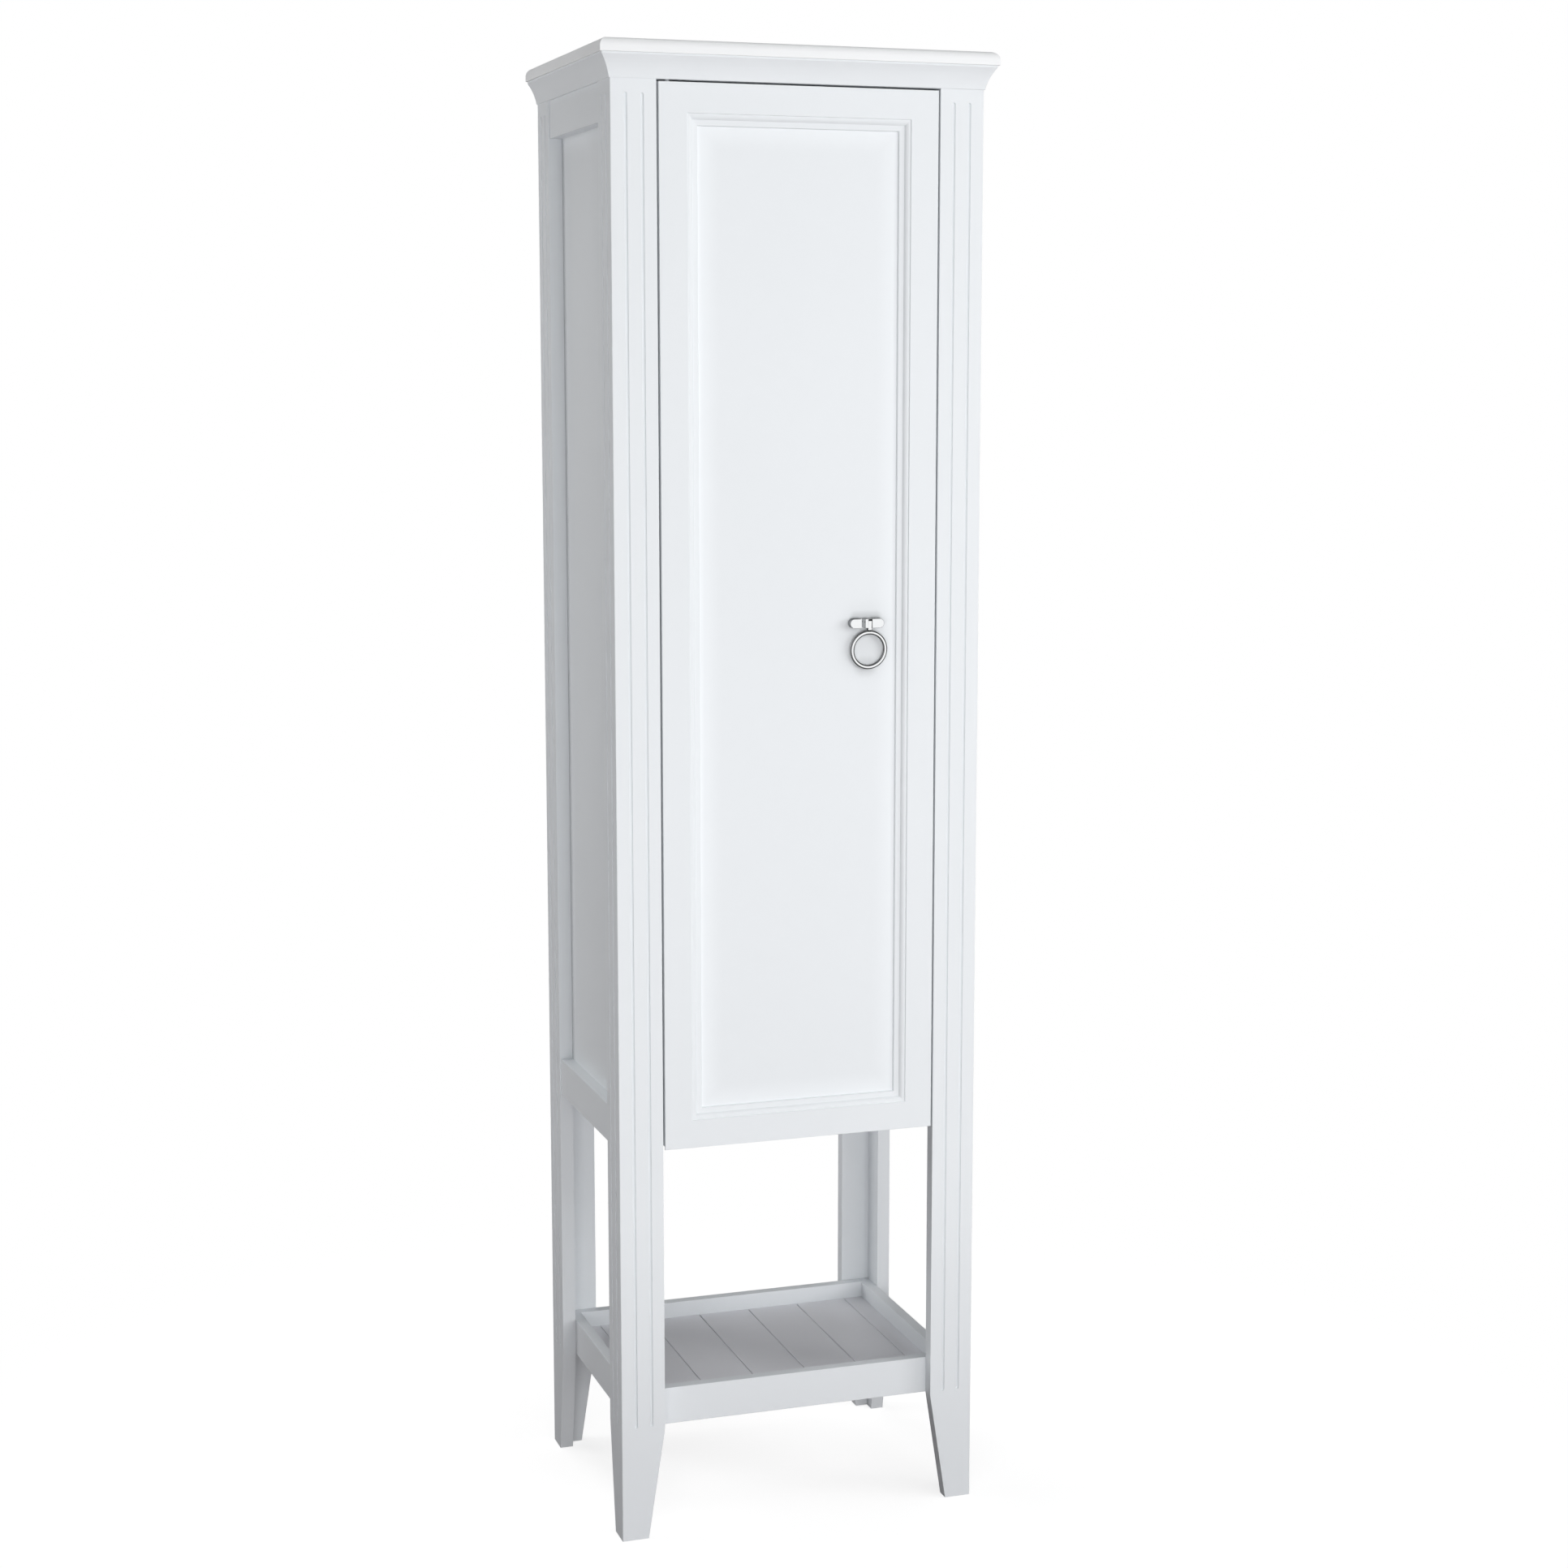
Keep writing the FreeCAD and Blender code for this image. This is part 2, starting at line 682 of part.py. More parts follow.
def build_catch():
    wide, deep, high = catch_size
    catch = block(catch_x - wide / 2, catch_x + wide / 2, catch_front,
                  catch_front + deep, under_top - high, under_top)
    for side in sides:
        ear_x = catch_x + side * (wide / 2 - catch_ear / 2)
        catch = catch.cut(block(ear_x - catch_ear / 2, ear_x + catch_ear / 2,
                                catch_front, catch_front + deep,
                                under_top - high, under_top - catch_ear_high))
    save(catch.cut(catch_screw_set()), "magnetic_catch")

    wide, deep, high = strike_size
    z0 = under_top - strike_drop
    strike = block(catch_x - wide / 2, catch_x + wide / 2, front + door_thick,
                   front + door_thick + deep, z0, z0 + high)
    save(strike.cut(strike_screw_set()), "strike_plate")

    z = carcass_bottom + carcass_board / 2
    bumpers = [rod((x, carcass_edge, z), (x, front + door_thick + touch_gap, z),
                   bumper_radius) for x in bumper_places]
    save(group(bumpers), "door_bumpers")


def build_wall_bracket():
    wide, deep, high = wall_bracket_size
    rear = back_panel_front
    shelf_leg = block(-wide / 2, wide / 2, rear - deep, rear,
                      under_top - wall_bracket_board, under_top)
    upright = block(-wide / 2, wide / 2, rear - wall_bracket_board, rear,
                    under_top - high, under_top)
    bracket = shelf_leg.fuse(upright).removeSplitter()
    save(bracket.cut(wall_holes() + wall_bracket_screw_set()), "wall_bracket")


# ---- ring pull ----

def handle_screw_places():
    middle = (plate_left + plate_right) / 2
    return [middle - handle_screw_spacing / 2, middle + handle_screw_spacing / 2]


def handle_screw_holes():
    y0 = front + panel_recess
    return [rod((x, y0 - overrun, plate_mid_z), (x, y0 + panel_thick + overrun, plate_mid_z),
                handle_screw_radius) for x in handle_screw_places()]


def stadium(x0, x1, z, radius, y0, y1):
    """An oblong plate with round ends, lying across the door."""
    middle = block(x0 + radius, x1 - radius, y0, y1, z - radius, z + radius)
    for x in (x0 + radius, x1 - radius):
        middle = middle.fuse(rod((x, y0, z), (x, y1, z), radius))
    return middle.removeSplitter()


def build_handle():
    radius = plate_high / 2
    y0 = front + plate_front
    y1 = front + panel_recess
    body = stadium(plate_left, plate_right, plate_mid_z, radius, y0, y1)
    front_edges = [edge for edge in body.Edges
                   if edge.BoundBox.YMax < y0 + plate_chamfer / 2]
    body = body.makeChamfer(plate_chamfer, front_edges)

    stem_left = handle_x - stem_width / 2
    channel_right = handle_x + stem_width / 2 + stem_play
    lug_right = stem_left - stem_play
    z0 = plate_mid_z - plate_high
    z1 = plate_mid_z + plate_high
    floor = front + channel_floor
    for x0, x1 in ((channel_left, lug_right - lug_width), (lug_right, channel_right)):
        body = body.cut(block(x0, x1, y0 - overrun, floor, z0, z1))
    pin_y = front + handle_pin_behind
    pin = rod((lug_right - lug_width + handle_pin_short, pin_y, handle_pin_z),
              (channel_right + handle_pin_grip, pin_y, handle_pin_z), handle_pin_radius)
    head_radius, head_high = handle_screw_head
    seat = y1 + panel_thick
    shanks = []
    screws = []
    for x in handle_screw_places():
        shank = rod((x, y1 - handle_screw_in_plate, plate_mid_z), (x, seat, plate_mid_z),
                    handle_screw_radius)
        head = rod((x, seat, plate_mid_z), (x, seat + head_high, plate_mid_z), head_radius)
        shanks.append(shank)
        screws.append(shank.fuse(head).removeSplitter())
    save(body.cut([pin] + shanks), "handle_plate")
    save(group(screws), "handle_screws")
    save(pin, "handle_pin")

    ring_radius = ring_width / 2 - wire_radius
    hinge = Vector(handle_x, pin_y, handle_pin_z)
    low_y = front + panel_recess - wire_radius - ring_play
    lean = math.asin((low_y - pin_y) / (stem_length + 2 * ring_radius))
    down = Vector(0, math.sin(lean), -math.cos(lean))
    forward = Vector(0, -math.cos(lean), -math.sin(lean))
    centre = hinge + down * (stem_length + ring_radius)
    ring = Part.makeTorus(ring_radius, wire_radius, centre, forward)
    knuckle = rod((stem_left, pin_y, handle_pin_z),
                  (stem_left + stem_width, pin_y, handle_pin_z), knuckle_radius)
    right_edge = [(stem_width / 2, 0), (stem_width / 2, flare_start),
                  (flare_width / 2, flare_end), (neck_width / 2, flare_end),
                  (neck_width / 2, stem_length)]
    outline = right_edge + [(-x, d) for x, d in reversed(right_edge)]
    stem = prism([hinge - forward * (stem_thick / 2) + Vector(x, 0, 0) + down * d
                  for x, d in outline], forward * stem_thick)
    bore = rod((stem_left - overrun, pin_y, handle_pin_z),
               (stem_left + stem_width + overrun, pin_y, handle_pin_z),
               handle_pin_radius + pivot_clearance)
    save(ring.fuse([stem, knuckle]).cut(bore), "pull_ring")


build_posts()
build_cornice()
build_carcass()
build_tray()
build_door()
build_pivots()
build_catch()
build_wall_bracket()
build_screws()
build_handle()
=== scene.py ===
import bmesh
import bpy
import json
import math
from mathutils import Matrix, Vector
from mathutils.bvhtree import BVHTree

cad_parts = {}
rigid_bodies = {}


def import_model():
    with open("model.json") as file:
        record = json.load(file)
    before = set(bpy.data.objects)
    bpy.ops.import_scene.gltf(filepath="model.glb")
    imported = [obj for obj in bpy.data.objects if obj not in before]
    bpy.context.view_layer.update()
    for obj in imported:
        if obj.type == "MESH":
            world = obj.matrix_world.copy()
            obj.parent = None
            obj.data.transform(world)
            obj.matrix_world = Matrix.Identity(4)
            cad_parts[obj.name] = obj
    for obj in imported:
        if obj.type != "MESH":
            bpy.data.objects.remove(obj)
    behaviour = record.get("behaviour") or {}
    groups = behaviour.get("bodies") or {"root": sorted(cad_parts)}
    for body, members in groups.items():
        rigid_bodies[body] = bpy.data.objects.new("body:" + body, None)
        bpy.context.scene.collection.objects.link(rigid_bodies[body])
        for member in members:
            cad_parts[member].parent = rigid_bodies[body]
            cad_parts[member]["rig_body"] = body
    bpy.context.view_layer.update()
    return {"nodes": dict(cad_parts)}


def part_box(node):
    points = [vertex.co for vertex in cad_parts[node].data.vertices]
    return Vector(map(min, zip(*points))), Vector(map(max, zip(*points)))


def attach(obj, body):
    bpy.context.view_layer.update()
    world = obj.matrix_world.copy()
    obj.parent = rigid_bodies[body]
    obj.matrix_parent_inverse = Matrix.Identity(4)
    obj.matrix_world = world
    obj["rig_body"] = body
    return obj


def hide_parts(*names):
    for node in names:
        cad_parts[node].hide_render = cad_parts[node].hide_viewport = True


# Tall bathroom cabinet in white lacquer with a chrome ring pull.
# Metres, +X to the viewer's right, the door faces -Y, +Z up, origin on the floor.

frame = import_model()
cadNodes = frame["nodes"]
scene = bpy.context.scene
mm = 0.001
print("frame:", len(cadNodes), "nodes")


def newTree(name, kind, inputs, outputs):
    # a node tree with its sockets, the identifiers of its inputs, and what comes in
    tree = bpy.data.node_groups.new(name, kind)
    keys = {}
    for label, held, value in inputs:
        socket = tree.interface.new_socket(label, in_out="INPUT",
                                           socket_type="NodeSocket" + held)
        if value is not None:
            socket.default_value = value
        keys[label] = socket.identifier
    for label, held in outputs:
        tree.interface.new_socket(label, in_out="OUTPUT", socket_type="NodeSocket" + held)
    return tree, keys, tree.nodes.new("NodeGroupInput").outputs


def feed(tree, socket, value):
    # a node or one of its outputs is linked; anything else is the socket's own value
    if isinstance(value, bpy.types.Node):
        value = value.outputs[0]
    if isinstance(value, bpy.types.NodeSocket):
        tree.links.new(value, socket)
    else:
        socket.default_value = value


def addNode(tree, kind, inputs=None, **settings):
    node = tree.nodes.new(kind)
    for key, value in settings.items():
        setattr(node, key, value)
    for key, value in (inputs or {}).items():
        feed(tree, node.inputs[key], value)
    return node


def calc(tree, operation, *values):
    return addNode(tree, "ShaderNodeMath", dict(enumerate(values)), operation=operation)


def calcVector(tree, operation, *values):
    return addNode(tree, "ShaderNodeVectorMath", dict(enumerate(values)), operation=operation)


def weighed(tree, *terms):
    # the sum of some values, each times its weight
    total = calc(tree, "MULTIPLY", *terms[0])
    for value, weight in terms[1:]:
        total = calc(tree, "MULTIPLY_ADD", value, weight, total)
    return total


def ramped(tree, value, low, high, atLow, atHigh):
    # atLow below low and atHigh above high, with a smooth change between
    return addNode(tree, "ShaderNodeMapRange", {
        "Value": value, "From Min": low, "From Max": high, "To Min": atLow,
        "To Max": atHigh}, interpolation_type="SMOOTHSTEP")


def axisOf(tree, where, axis):
    return addNode(tree, "ShaderNodeSeparateXYZ", {0: where}).outputs[axis]


def noise(tree, where, grain):
    # a noise value from -0.5 to 0.5 about its middle; grain is scale, detail, roughness
    scale, detail, roughness = grain
    made = addNode(tree, "ShaderNodeTexNoise", {
        "Vector": where, "Scale": scale, "Detail": detail, "Roughness": roughness})
    return calc(tree, "SUBTRACT", made.outputs["Fac"], 0.5)


def shade(tree, colour, amount):
    # colour made lighter or darker by a value about zero
    return addNode(tree, "ShaderNodeVectorMath", {
        0: colour, "Scale": calc(tree, "ADD", amount, 1.0)}, operation="SCALE")


def newSkin(name, inputs):
    # a shader node group that puts out a colour, a roughness and a height
    skin, keys, given = newTree(name, "ShaderNodeTree", inputs, (
        ("Colour", "Color"), ("Roughness", "Float"), ("Height", "Float")))
    return skin, given, addNode(skin, "ShaderNodeTexCoord").outputs["Object"]


def closeSkin(skin, colour, tone, roughness, height):
    addNode(skin, "NodeGroupOutput", {"Colour": shade(skin, colour, tone),
                                      "Roughness": roughness, "Height": height})
    return skin


lacquerGrain = {
    # scale, detail and roughness of each
    "broad": (2.4, 2.0, 0.5), "patchy": (31.0, 3.0, 0.5), "specks": (1400.0, 1.0, 0.5),
    "peel": (520.0, 2.0, 0.55), "nibs": (900.0, 0.0, 0.5), "waves": (60.0, 2.0, 0.5),
    # how much they add to the clouding, the gloss and the height
    "broadTone": 1.6, "patchyTone": 0.7, "specksTone": 0.5, "arrisTone": -0.02,
    "patchyGloss": 0.16, "nibsLeast": 0.245, "nibsHigh": 0.7, "wavesHigh": 1.2,
}


def makeLacquerSkin():
    # sprayed lacquer: clouding of the colour, fine orange peel, gloss rubbed up on the
    # arrises, and painted shade that makes it darker towards the floor
    skin, given, where = newSkin("lacquerSkin", [
        ("Colour", "Color", (0.8, 0.8, 0.8, 1)), ("Clouding", "Float", 0.01),
        ("Peel", "Float", 0.5), ("Roughness", "Float", 0.4), ("Rubbed", "Float", 0.05),
        ("Dulled", "Color", (0.875, 0.875, 0.88, 1)), ("Dulled To", "Float", 0.45)])
    look = lacquerGrain
    broad, patchy, specks, peel, nibs, waves = (noise(skin, where, look[kind]) for kind in (
        "broad", "patchy", "specks", "peel", "nibs", "waves"))
    arris = addNode(skin, "ShaderNodeAttribute", attribute_name="arris").outputs["Fac"]
    clouds = weighed(skin, (broad, look["broadTone"]), (patchy, look["patchyTone"]),
                     (specks, look["specksTone"]))
    # painted shade: the colour is made darker towards the floor, up to the given height
    low = ramped(skin, axisOf(skin, where, "Z"), 0.0, given["Dulled To"], 1.0, 0.0)
    floorShaded = addNode(skin, "ShaderNodeMix", {
        "Factor": low, "A": given["Colour"], "B": given["Dulled"]},
        data_type="RGBA", blend_type="MULTIPLY").outputs["Result"]
    gloss = calc(skin, "MULTIPLY_ADD", patchy, look["patchyGloss"], given["Roughness"])
    gloss = calc(skin, "SUBTRACT", gloss, calc(skin, "MULTIPLY", arris, given["Rubbed"]))
    nibs = calc(skin, "GREATER_THAN", nibs, look["nibsLeast"])
    height = weighed(skin, (peel, 1.0), (nibs, look["nibsHigh"]), (waves, look["wavesHigh"]))
    return closeSkin(skin, floorShaded,
                     weighed(skin, (clouds, given["Clouding"]), (arris, look["arrisTone"])),
                     gloss, calc(skin, "MULTIPLY", height, given["Peel"]))


metalGrain = {"lines": (900.0, 3.0, 0.6), "touched": (95.0, 3.0, 0.6), "leastRough": 0.02}


def makeMetalSkin():
    # metal: hairlines along one way, clouds of handling
    skin, given, where = newSkin("metalSkin", [
        ("Colour", "Color", (0.7, 0.7, 0.7, 1)), ("Roughness", "Float", 0.2),
        ("Hairlines", "Float", 0.3), ("Handling", "Float", 0.1),
        ("Grain Way", "Vector", (1, 1, 1))])
    along = calcVector(skin, "MULTIPLY", where, given["Grain Way"])
    lines = noise(skin, along, metalGrain["lines"])
    touched = noise(skin, where, metalGrain["touched"])
    tone = weighed(skin, (lines, given["Hairlines"]), (touched, given["Handling"]))
    rough = calc(skin, "MULTIPLY_ADD", touched, given["Handling"], given["Roughness"])
    return closeSkin(skin, given["Colour"], tone,
                     calc(skin, "MAXIMUM", rough, metalGrain["leastRough"]),
                     calc(skin, "MULTIPLY", lines, given["Hairlines"]))


mouldedGrain = {
    "spark": (1800.0, 2.0, 0.7), "flow": (60.0, 3.0, 0.5), "flowStretch": (1.0, 1.0, 0.25),
    "sparkTone": 0.06, "flowTone": 0.08, "flowGloss": 0.2,
}


def makeMouldedSkin():
    # moulded plastic or rubber: fine spark texture and faint flow marks
    skin, given, where = newSkin("mouldedSkin", [
        ("Colour", "Color", (0.7, 0.7, 0.7, 1)), ("Roughness", "Float", 0.5),
        ("Grain", "Float", 0.5)])
    look = mouldedGrain
    spark = noise(skin, where, look["spark"])
    flow = noise(skin, calcVector(skin, "MULTIPLY", where, look["flowStretch"]), look["flow"])
    return closeSkin(skin, given["Colour"],
                     weighed(skin, (spark, look["sparkTone"]), (flow, look["flowTone"])),
                     calc(skin, "MULTIPLY_ADD", flow, look["flowGloss"], given["Roughness"]),
                     calc(skin, "MULTIPLY", spark, given["Grain"]))


finishes = {}


def nodesOf(owner):
    # an empty node tree for a material or the world
    owner.use_nodes = True
    owner.node_tree.nodes.clear()
    return owner.node_tree


def makeFinishes(table, skin, labels):
    # Principled materials fed by a skin; each row holds the skin's values, the bump's
    # strength and distance, and values for the shader's own sockets
    for name, (values, (strength, distance), shader) in table.items():
        finishes[name] = bpy.data.materials.new(name)
        tree = nodesOf(finishes[name])
        made = addNode(tree, "ShaderNodeGroup", dict(zip(labels, values)), node_tree=skin,
                       name="skin")
        relief = addNode(tree, "ShaderNodeBump", {
            "Strength": strength, "Distance": distance, "Height": made.outputs["Height"]})
        surface = addNode(tree, "ShaderNodeBsdfPrincipled", {
            "Base Color": made.outputs["Colour"], "Roughness": made.outputs["Roughness"],
            "Normal": relief, **shader}, name="surface")
        addNode(tree, "ShaderNodeOutputMaterial", {"Surface": surface})


outsideCoat = (((0.815, 0.845, 0.868, 1), 0.022, 0.5, 0.42, 0.06), (0.35, 0.06 * mm), {})
lacquers = {
    "whiteLacquer": outsideCoat, "panelLacquer": outsideCoat,
    # painted light: the top board's lacquer is lighter, standing in for the light from above
    # that catches it
    "slabLacquer": (((0.90, 0.915, 0.925, 1), 0.022, 0.5, 0.42, 0.06), (0.35, 0.06 * mm), {}),
    "slatLacquer": (((0.828, 0.833, 0.863, 1), 0.03, 0.6, 0.45, 0.04), (0.35, 0.06 * mm), {}),
    "insideLacquer": (((0.80, 0.83, 0.852, 1), 0.03, 0.7, 0.48, 0.04), (0.4, 0.06 * mm), {}),
}
metal = {"Metallic": 1.0}
metals = {
    "polishedChrome": (((0.94, 0.955, 0.965, 1), 0.05, 0.01, 0.04), (0.03, 0.02 * mm),
                       {**metal, "Specular Tint": (0.3, 0.3, 0.31, 1)}),
    "ringChrome": (((0.96, 0.97, 0.975, 1), 0.035, 0.01, 0.03), (0.03, 0.02 * mm),
                   {**metal, "Specular Tint": (0.4, 0.4, 0.41, 1)}),
    "pinSteel": (((0.07, 0.07, 0.075, 1), 0.4, 0.1, 0.1), (0.1, 0.02 * mm), metal),
    "screwSteel": (((0.58, 0.585, 0.60, 1), 0.28, 0.1, 0.2), (0.2, 0.02 * mm), metal),
    # rolled along X
    "zincPlate": (((0.62, 0.63, 0.65, 1), 0.32, 0.22, 0.16, (0.08, 1.0, 1.0)),
                  (0.2, 0.02 * mm), metal),
}
plastics = {
    "greyNylon": (((0.34, 0.345, 0.35, 1), 0.48, 0.6), (0.3, 0.04 * mm), {}),
    "whiteNylon": (((0.78, 0.78, 0.76, 1), 0.45, 0.6), (0.3, 0.04 * mm), {}),
    "glidePlastic": (((0.60, 0.60, 0.59, 1), 0.5, 0.8), (0.4, 0.04 * mm), {}),
    "softBuffer": (((0.66, 0.67, 0.67, 1), 0.3, 0.2), (0.2, 0.03 * mm),
                   {"Subsurface Weight": 0.3, "Subsurface Scale": 2.0 * mm}),
}
makeFinishes(lacquers, makeLacquerSkin(),
             ("Colour", "Clouding", "Peel", "Roughness", "Rubbed"))
makeFinishes(metals, makeMetalSkin(),
             ("Colour", "Roughness", "Hairlines", "Handling", "Grain Way"))
makeFinishes(plastics, makeMouldedSkin(), ("Colour", "Roughness", "Grain"))


def tintedBy(material, amount):
    # the skin's colour made lighter or darker by a value about zero
    tree = finishes[material].node_tree
    feed(tree, tree.nodes["surface"].inputs["Base Color"],
         shade(tree, tree.nodes["skin"].outputs["Colour"], amount))


panelLook = {
    # painted light: the panel is lighter along its edges, where light bounces off the moulding
    "halfWidth": 123.8 * mm, "low": 540.7 * mm, "high": 1705.3 * mm,
    "glowWidth": 30 * mm, "edgeGlow": 0.06,
    # painted shadow round the pull, most above the plate and under the ring; the broad first
    # one also stands for handling grime: middle in
    # X and Z, half width, squash in Z, where it starts to fade and ends, and depth
    "pullShadows": ((87.0 * mm, 1104.0 * mm, 0.0, 0.8, 12 * mm, 48 * mm, 0.085),
              (86.0 * mm, 1131.5 * mm, 13.0 * mm, 1.0, 2.0 * mm, 10.0 * mm, 0.17),
              (86.0 * mm, 1072.0 * mm, 3.0 * mm, 1.0, 3.0 * mm, 16.0 * mm, 0.16)),
}


def finishPanel():
    tree = finishes["panelLacquer"].node_tree
    where = addNode(tree, "ShaderNodeTexCoord").outputs["Object"]
    x, z = axisOf(tree, where, "X"), axisOf(tree, where, "Z")
    inX = calc(tree, "SUBTRACT", panelLook["halfWidth"], calc(tree, "ABSOLUTE", x))
    inZ = calc(tree, "MINIMUM", calc(tree, "SUBTRACT", z, panelLook["low"]),
               calc(tree, "SUBTRACT", panelLook["high"], z))
    # painted light along the panel's edges
    tone = ramped(tree, calc(tree, "MINIMUM", inX, inZ), 0.0, panelLook["glowWidth"],
                  panelLook["edgeGlow"], 0.0)
    # painted shadow round the pull
    for middleX, middleZ, halfWide, squash, fadeFrom, fadeTo, depth in panelLook["pullShadows"]:
        fromX = calc(tree, "ABSOLUTE", calc(tree, "SUBTRACT", x, middleX))
        fromX = calc(tree, "MAXIMUM", calc(tree, "SUBTRACT", fromX, halfWide), 0.0)
        fromZ = calc(tree, "MULTIPLY", calc(tree, "SUBTRACT", z, middleZ), squash)
        away = calc(tree, "SQRT", weighed(tree, (fromX, fromX), (fromZ, fromZ)))
        tone = calc(tree, "SUBTRACT", tone, ramped(tree, away, fadeFrom, fadeTo, depth, 0.0))
    tintedBy("panelLacquer", tone)


chromeLook = {
    # painted reflection: polished metal darkens where it turns away: darkest share, where it
    # starts and ends
    "polishedChrome": (0.62, 0.22, 0.52), "ringChrome": (0.12, 0.13, 0.34),
    "blend": 0.5, "bounce": -0.9,   # it gives little light back to the door
    # each painted shade is two places, and the tone at them
    # painted shade in the joint between the stem's foot and the ring
    "neck": (88.5 * mm, -165.5 * mm, 1115.6 * mm), "neckStretch": (0.38, 0.3, 1.0),
    "neckShade": (0.95 * mm, 1.8 * mm, -0.93, 0.0),
    # painted shade on the plate's top
    "topShade": (1129.7 * mm, 1130.4 * mm, 0.0, -0.65),
}


def finishChrome(name):
    tree = finishes[name].node_tree
    darkest, turnFrom, turnTo = chromeLook[name]
    # painted reflection: the colour darkens where the metal turns away from the view
    layer = addNode(tree, "ShaderNodeLayerWeight", {"Blend": chromeLook["blend"]})
    turned = ramped(tree, layer.outputs["Facing"], turnFrom, turnTo, 0.0, darkest - 1.0)
    where = addNode(tree, "ShaderNodeTexCoord").outputs["Object"]
    # painted shade at the joint between the stem's foot and the ring
    if name == "ringChrome":
        offset = calcVector(tree, "SUBTRACT", where, chromeLook["neck"])
        offset = calcVector(tree, "MULTIPLY", offset, chromeLook["neckStretch"])
        away = calcVector(tree, "LENGTH", offset).outputs["Value"]
        paintedShade = ramped(tree, away, *chromeLook["neckShade"])
    else:
        # painted shade on the plate's top
        paintedShade = ramped(tree, axisOf(tree, where, "Z"), *chromeLook["topShade"])
    bounce = addNode(tree, "ShaderNodeLightPath").outputs["Is Diffuse Ray"]
    seen = calc(tree, "MULTIPLY", calc(tree, "MINIMUM", turned, paintedShade),
                calc(tree, "SUBTRACT", 1.0, bounce))
    tintedBy(name, calc(tree, "MULTIPLY_ADD", bounce, chromeLook["bounce"], seen))


finishPanel()
finishChrome("polishedChrome")
finishChrome("ringChrome")
print("finishes: made", len(finishes))


shading = {
    "sharp": 30.0,         # degrees; edges that turn further are sharp
    "areaWeight": 100,     # corners lean to their larger faces
    "largeFace": 5.0e-6,   # square metres; no corner of a larger face
    "mostBend": 14.0,      # may be shaded as if it turned further than this
}


def squaredNormals(mesh):
    # large faces stay flat where tiny facets at a mitre would bend their shading
    normals = [corner.vector.copy() for corner in mesh.corner_normals]
    least = math.cos(math.radians(shading["mostBend"]))
    for face in mesh.polygons:
        if face.area < shading["largeFace"]:
            continue
        for corner in face.loop_indices:
            if normals[corner].dot(face.normal) < least:
                normals[corner] = face.normal.copy()
    mesh.normals_split_custom_set(normals)


def placedObject(name, data):
    thing = bpy.data.objects.new(name, data)
    scene.collection.objects.link(thing)
    return thing


def settledMesh(thing):
    # the mesh that an object's modifiers make
    return bpy.data.meshes.new_from_object(
        thing.evaluated_get(bpy.context.evaluated_depsgraph_get()))


def finishPiece(name, mesh, material, nodes):
    # smooth shading with sharp edges, then it rides on its nodes' body and stands for them
    mesh.materials.clear()
    mesh.materials.append(finishes[material])
    mesh.shade_smooth()
    mesh.set_sharp_from_angle(angle=math.radians(shading["sharp"]))
    piece = placedObject(name, mesh)
    weigh = piece.modifiers.new("weigh", "WEIGHTED_NORMAL")
    weigh.keep_sharp = True
    weigh.weight = shading["areaWeight"]
    settled = settledMesh(piece)
    piece.modifiers.clear()
    piece.data = settled
    settled.name = name
    squaredNormals(settled)
    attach(piece, cadNodes[nodes[0]]["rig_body"])
    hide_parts(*nodes)


def meshOf(name, shaper):
    mesh = bpy.data.meshes.new(name)
    shaper.to_mesh(mesh)
    shaper.free()
    return mesh


def takeMesh(name, shaper, material, node):
    finishPiece(name, meshOf(name, shaper), material, [node])


merging = {"cad": 0.002 * mm, "carved": 0.001 * mm}


def cadShape(node):
    # a merged copy of a CAD node's mesh
    shaper = bmesh.new()
    shaper.from_mesh(cadNodes[node].data)
    bmesh.ops.remove_doubles(shaper, verts=shaper.verts, dist=merging["cad"])
    bmesh.ops.recalc_face_normals(shaper, faces=shaper.faces)
    return shaper


easing = {
    "radius": 0.55 * mm, "steps": 4,
    "flattest": 0.5,      # degrees; faces that turn less than this are joined
    "sharpest": 25.0,     # and edges that turn less than this stay
    "probe": 0.45 * mm,   # how far a neighbouring board is looked for
    "inside": 0.01 * mm,  # and how deep in it a point has to be
    "samples": 9, "leastOpen": 0.5,   # more than this share of an edge is in the open
    "leastFace": 3.0e-5,  # square metres; smaller facets belong to flutes and holes
}


def solidOf(node):
    shaper = cadShape(node)
    tree = BVHTree.FromBMesh(shaper)
    shaper.free()
    return tree, *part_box(node)


solids = {name: solidOf(name) for name in cadNodes}


def insideAnother(point, own):
    for name, (tree, low, high) in solids.items():
        if name == own or any(point[i] < low[i] or point[i] > high[i] for i in range(3)):
            continue
        spot, normal, index, distance = tree.find_nearest(point)
        if spot is not None and (point - spot).dot(normal) < -easing["inside"]:
            return True
    return False


def openShare(edge, own):
    # how much of an edge is in the open, and not against another board
    first, second = (face.normal * easing["probe"] for face in edge.link_faces)
    start, end = (vert.co for vert in edge.verts)
    free = 0
    for step in range(easing["samples"]):
        spot = start.lerp(end, (step + 0.5) / easing["samples"])
        around = (spot + first + second, spot + first - second, spot + second - first)
        free += not any(insideAnother(point, own) for point in around)
    return free / easing["samples"]


def isArris(edge, node):
    return (len(edge.link_faces) == 2 and edge.is_convex
            and edge.calc_face_angle(0) >= math.radians(easing["sharpest"])
            and min(face.calc_area() for face in edge.link_faces) >= easing["leastFace"]
            and openShare(edge, node) > easing["leastOpen"])


def rounded(shaper, edges, radius, clamp=True):
    return bmesh.ops.bevel(shaper, geom=edges, offset=radius, segments=easing["steps"],
                           profile=0.5, affect="EDGES", offset_type="OFFSET",
                           clamp_overlap=clamp)


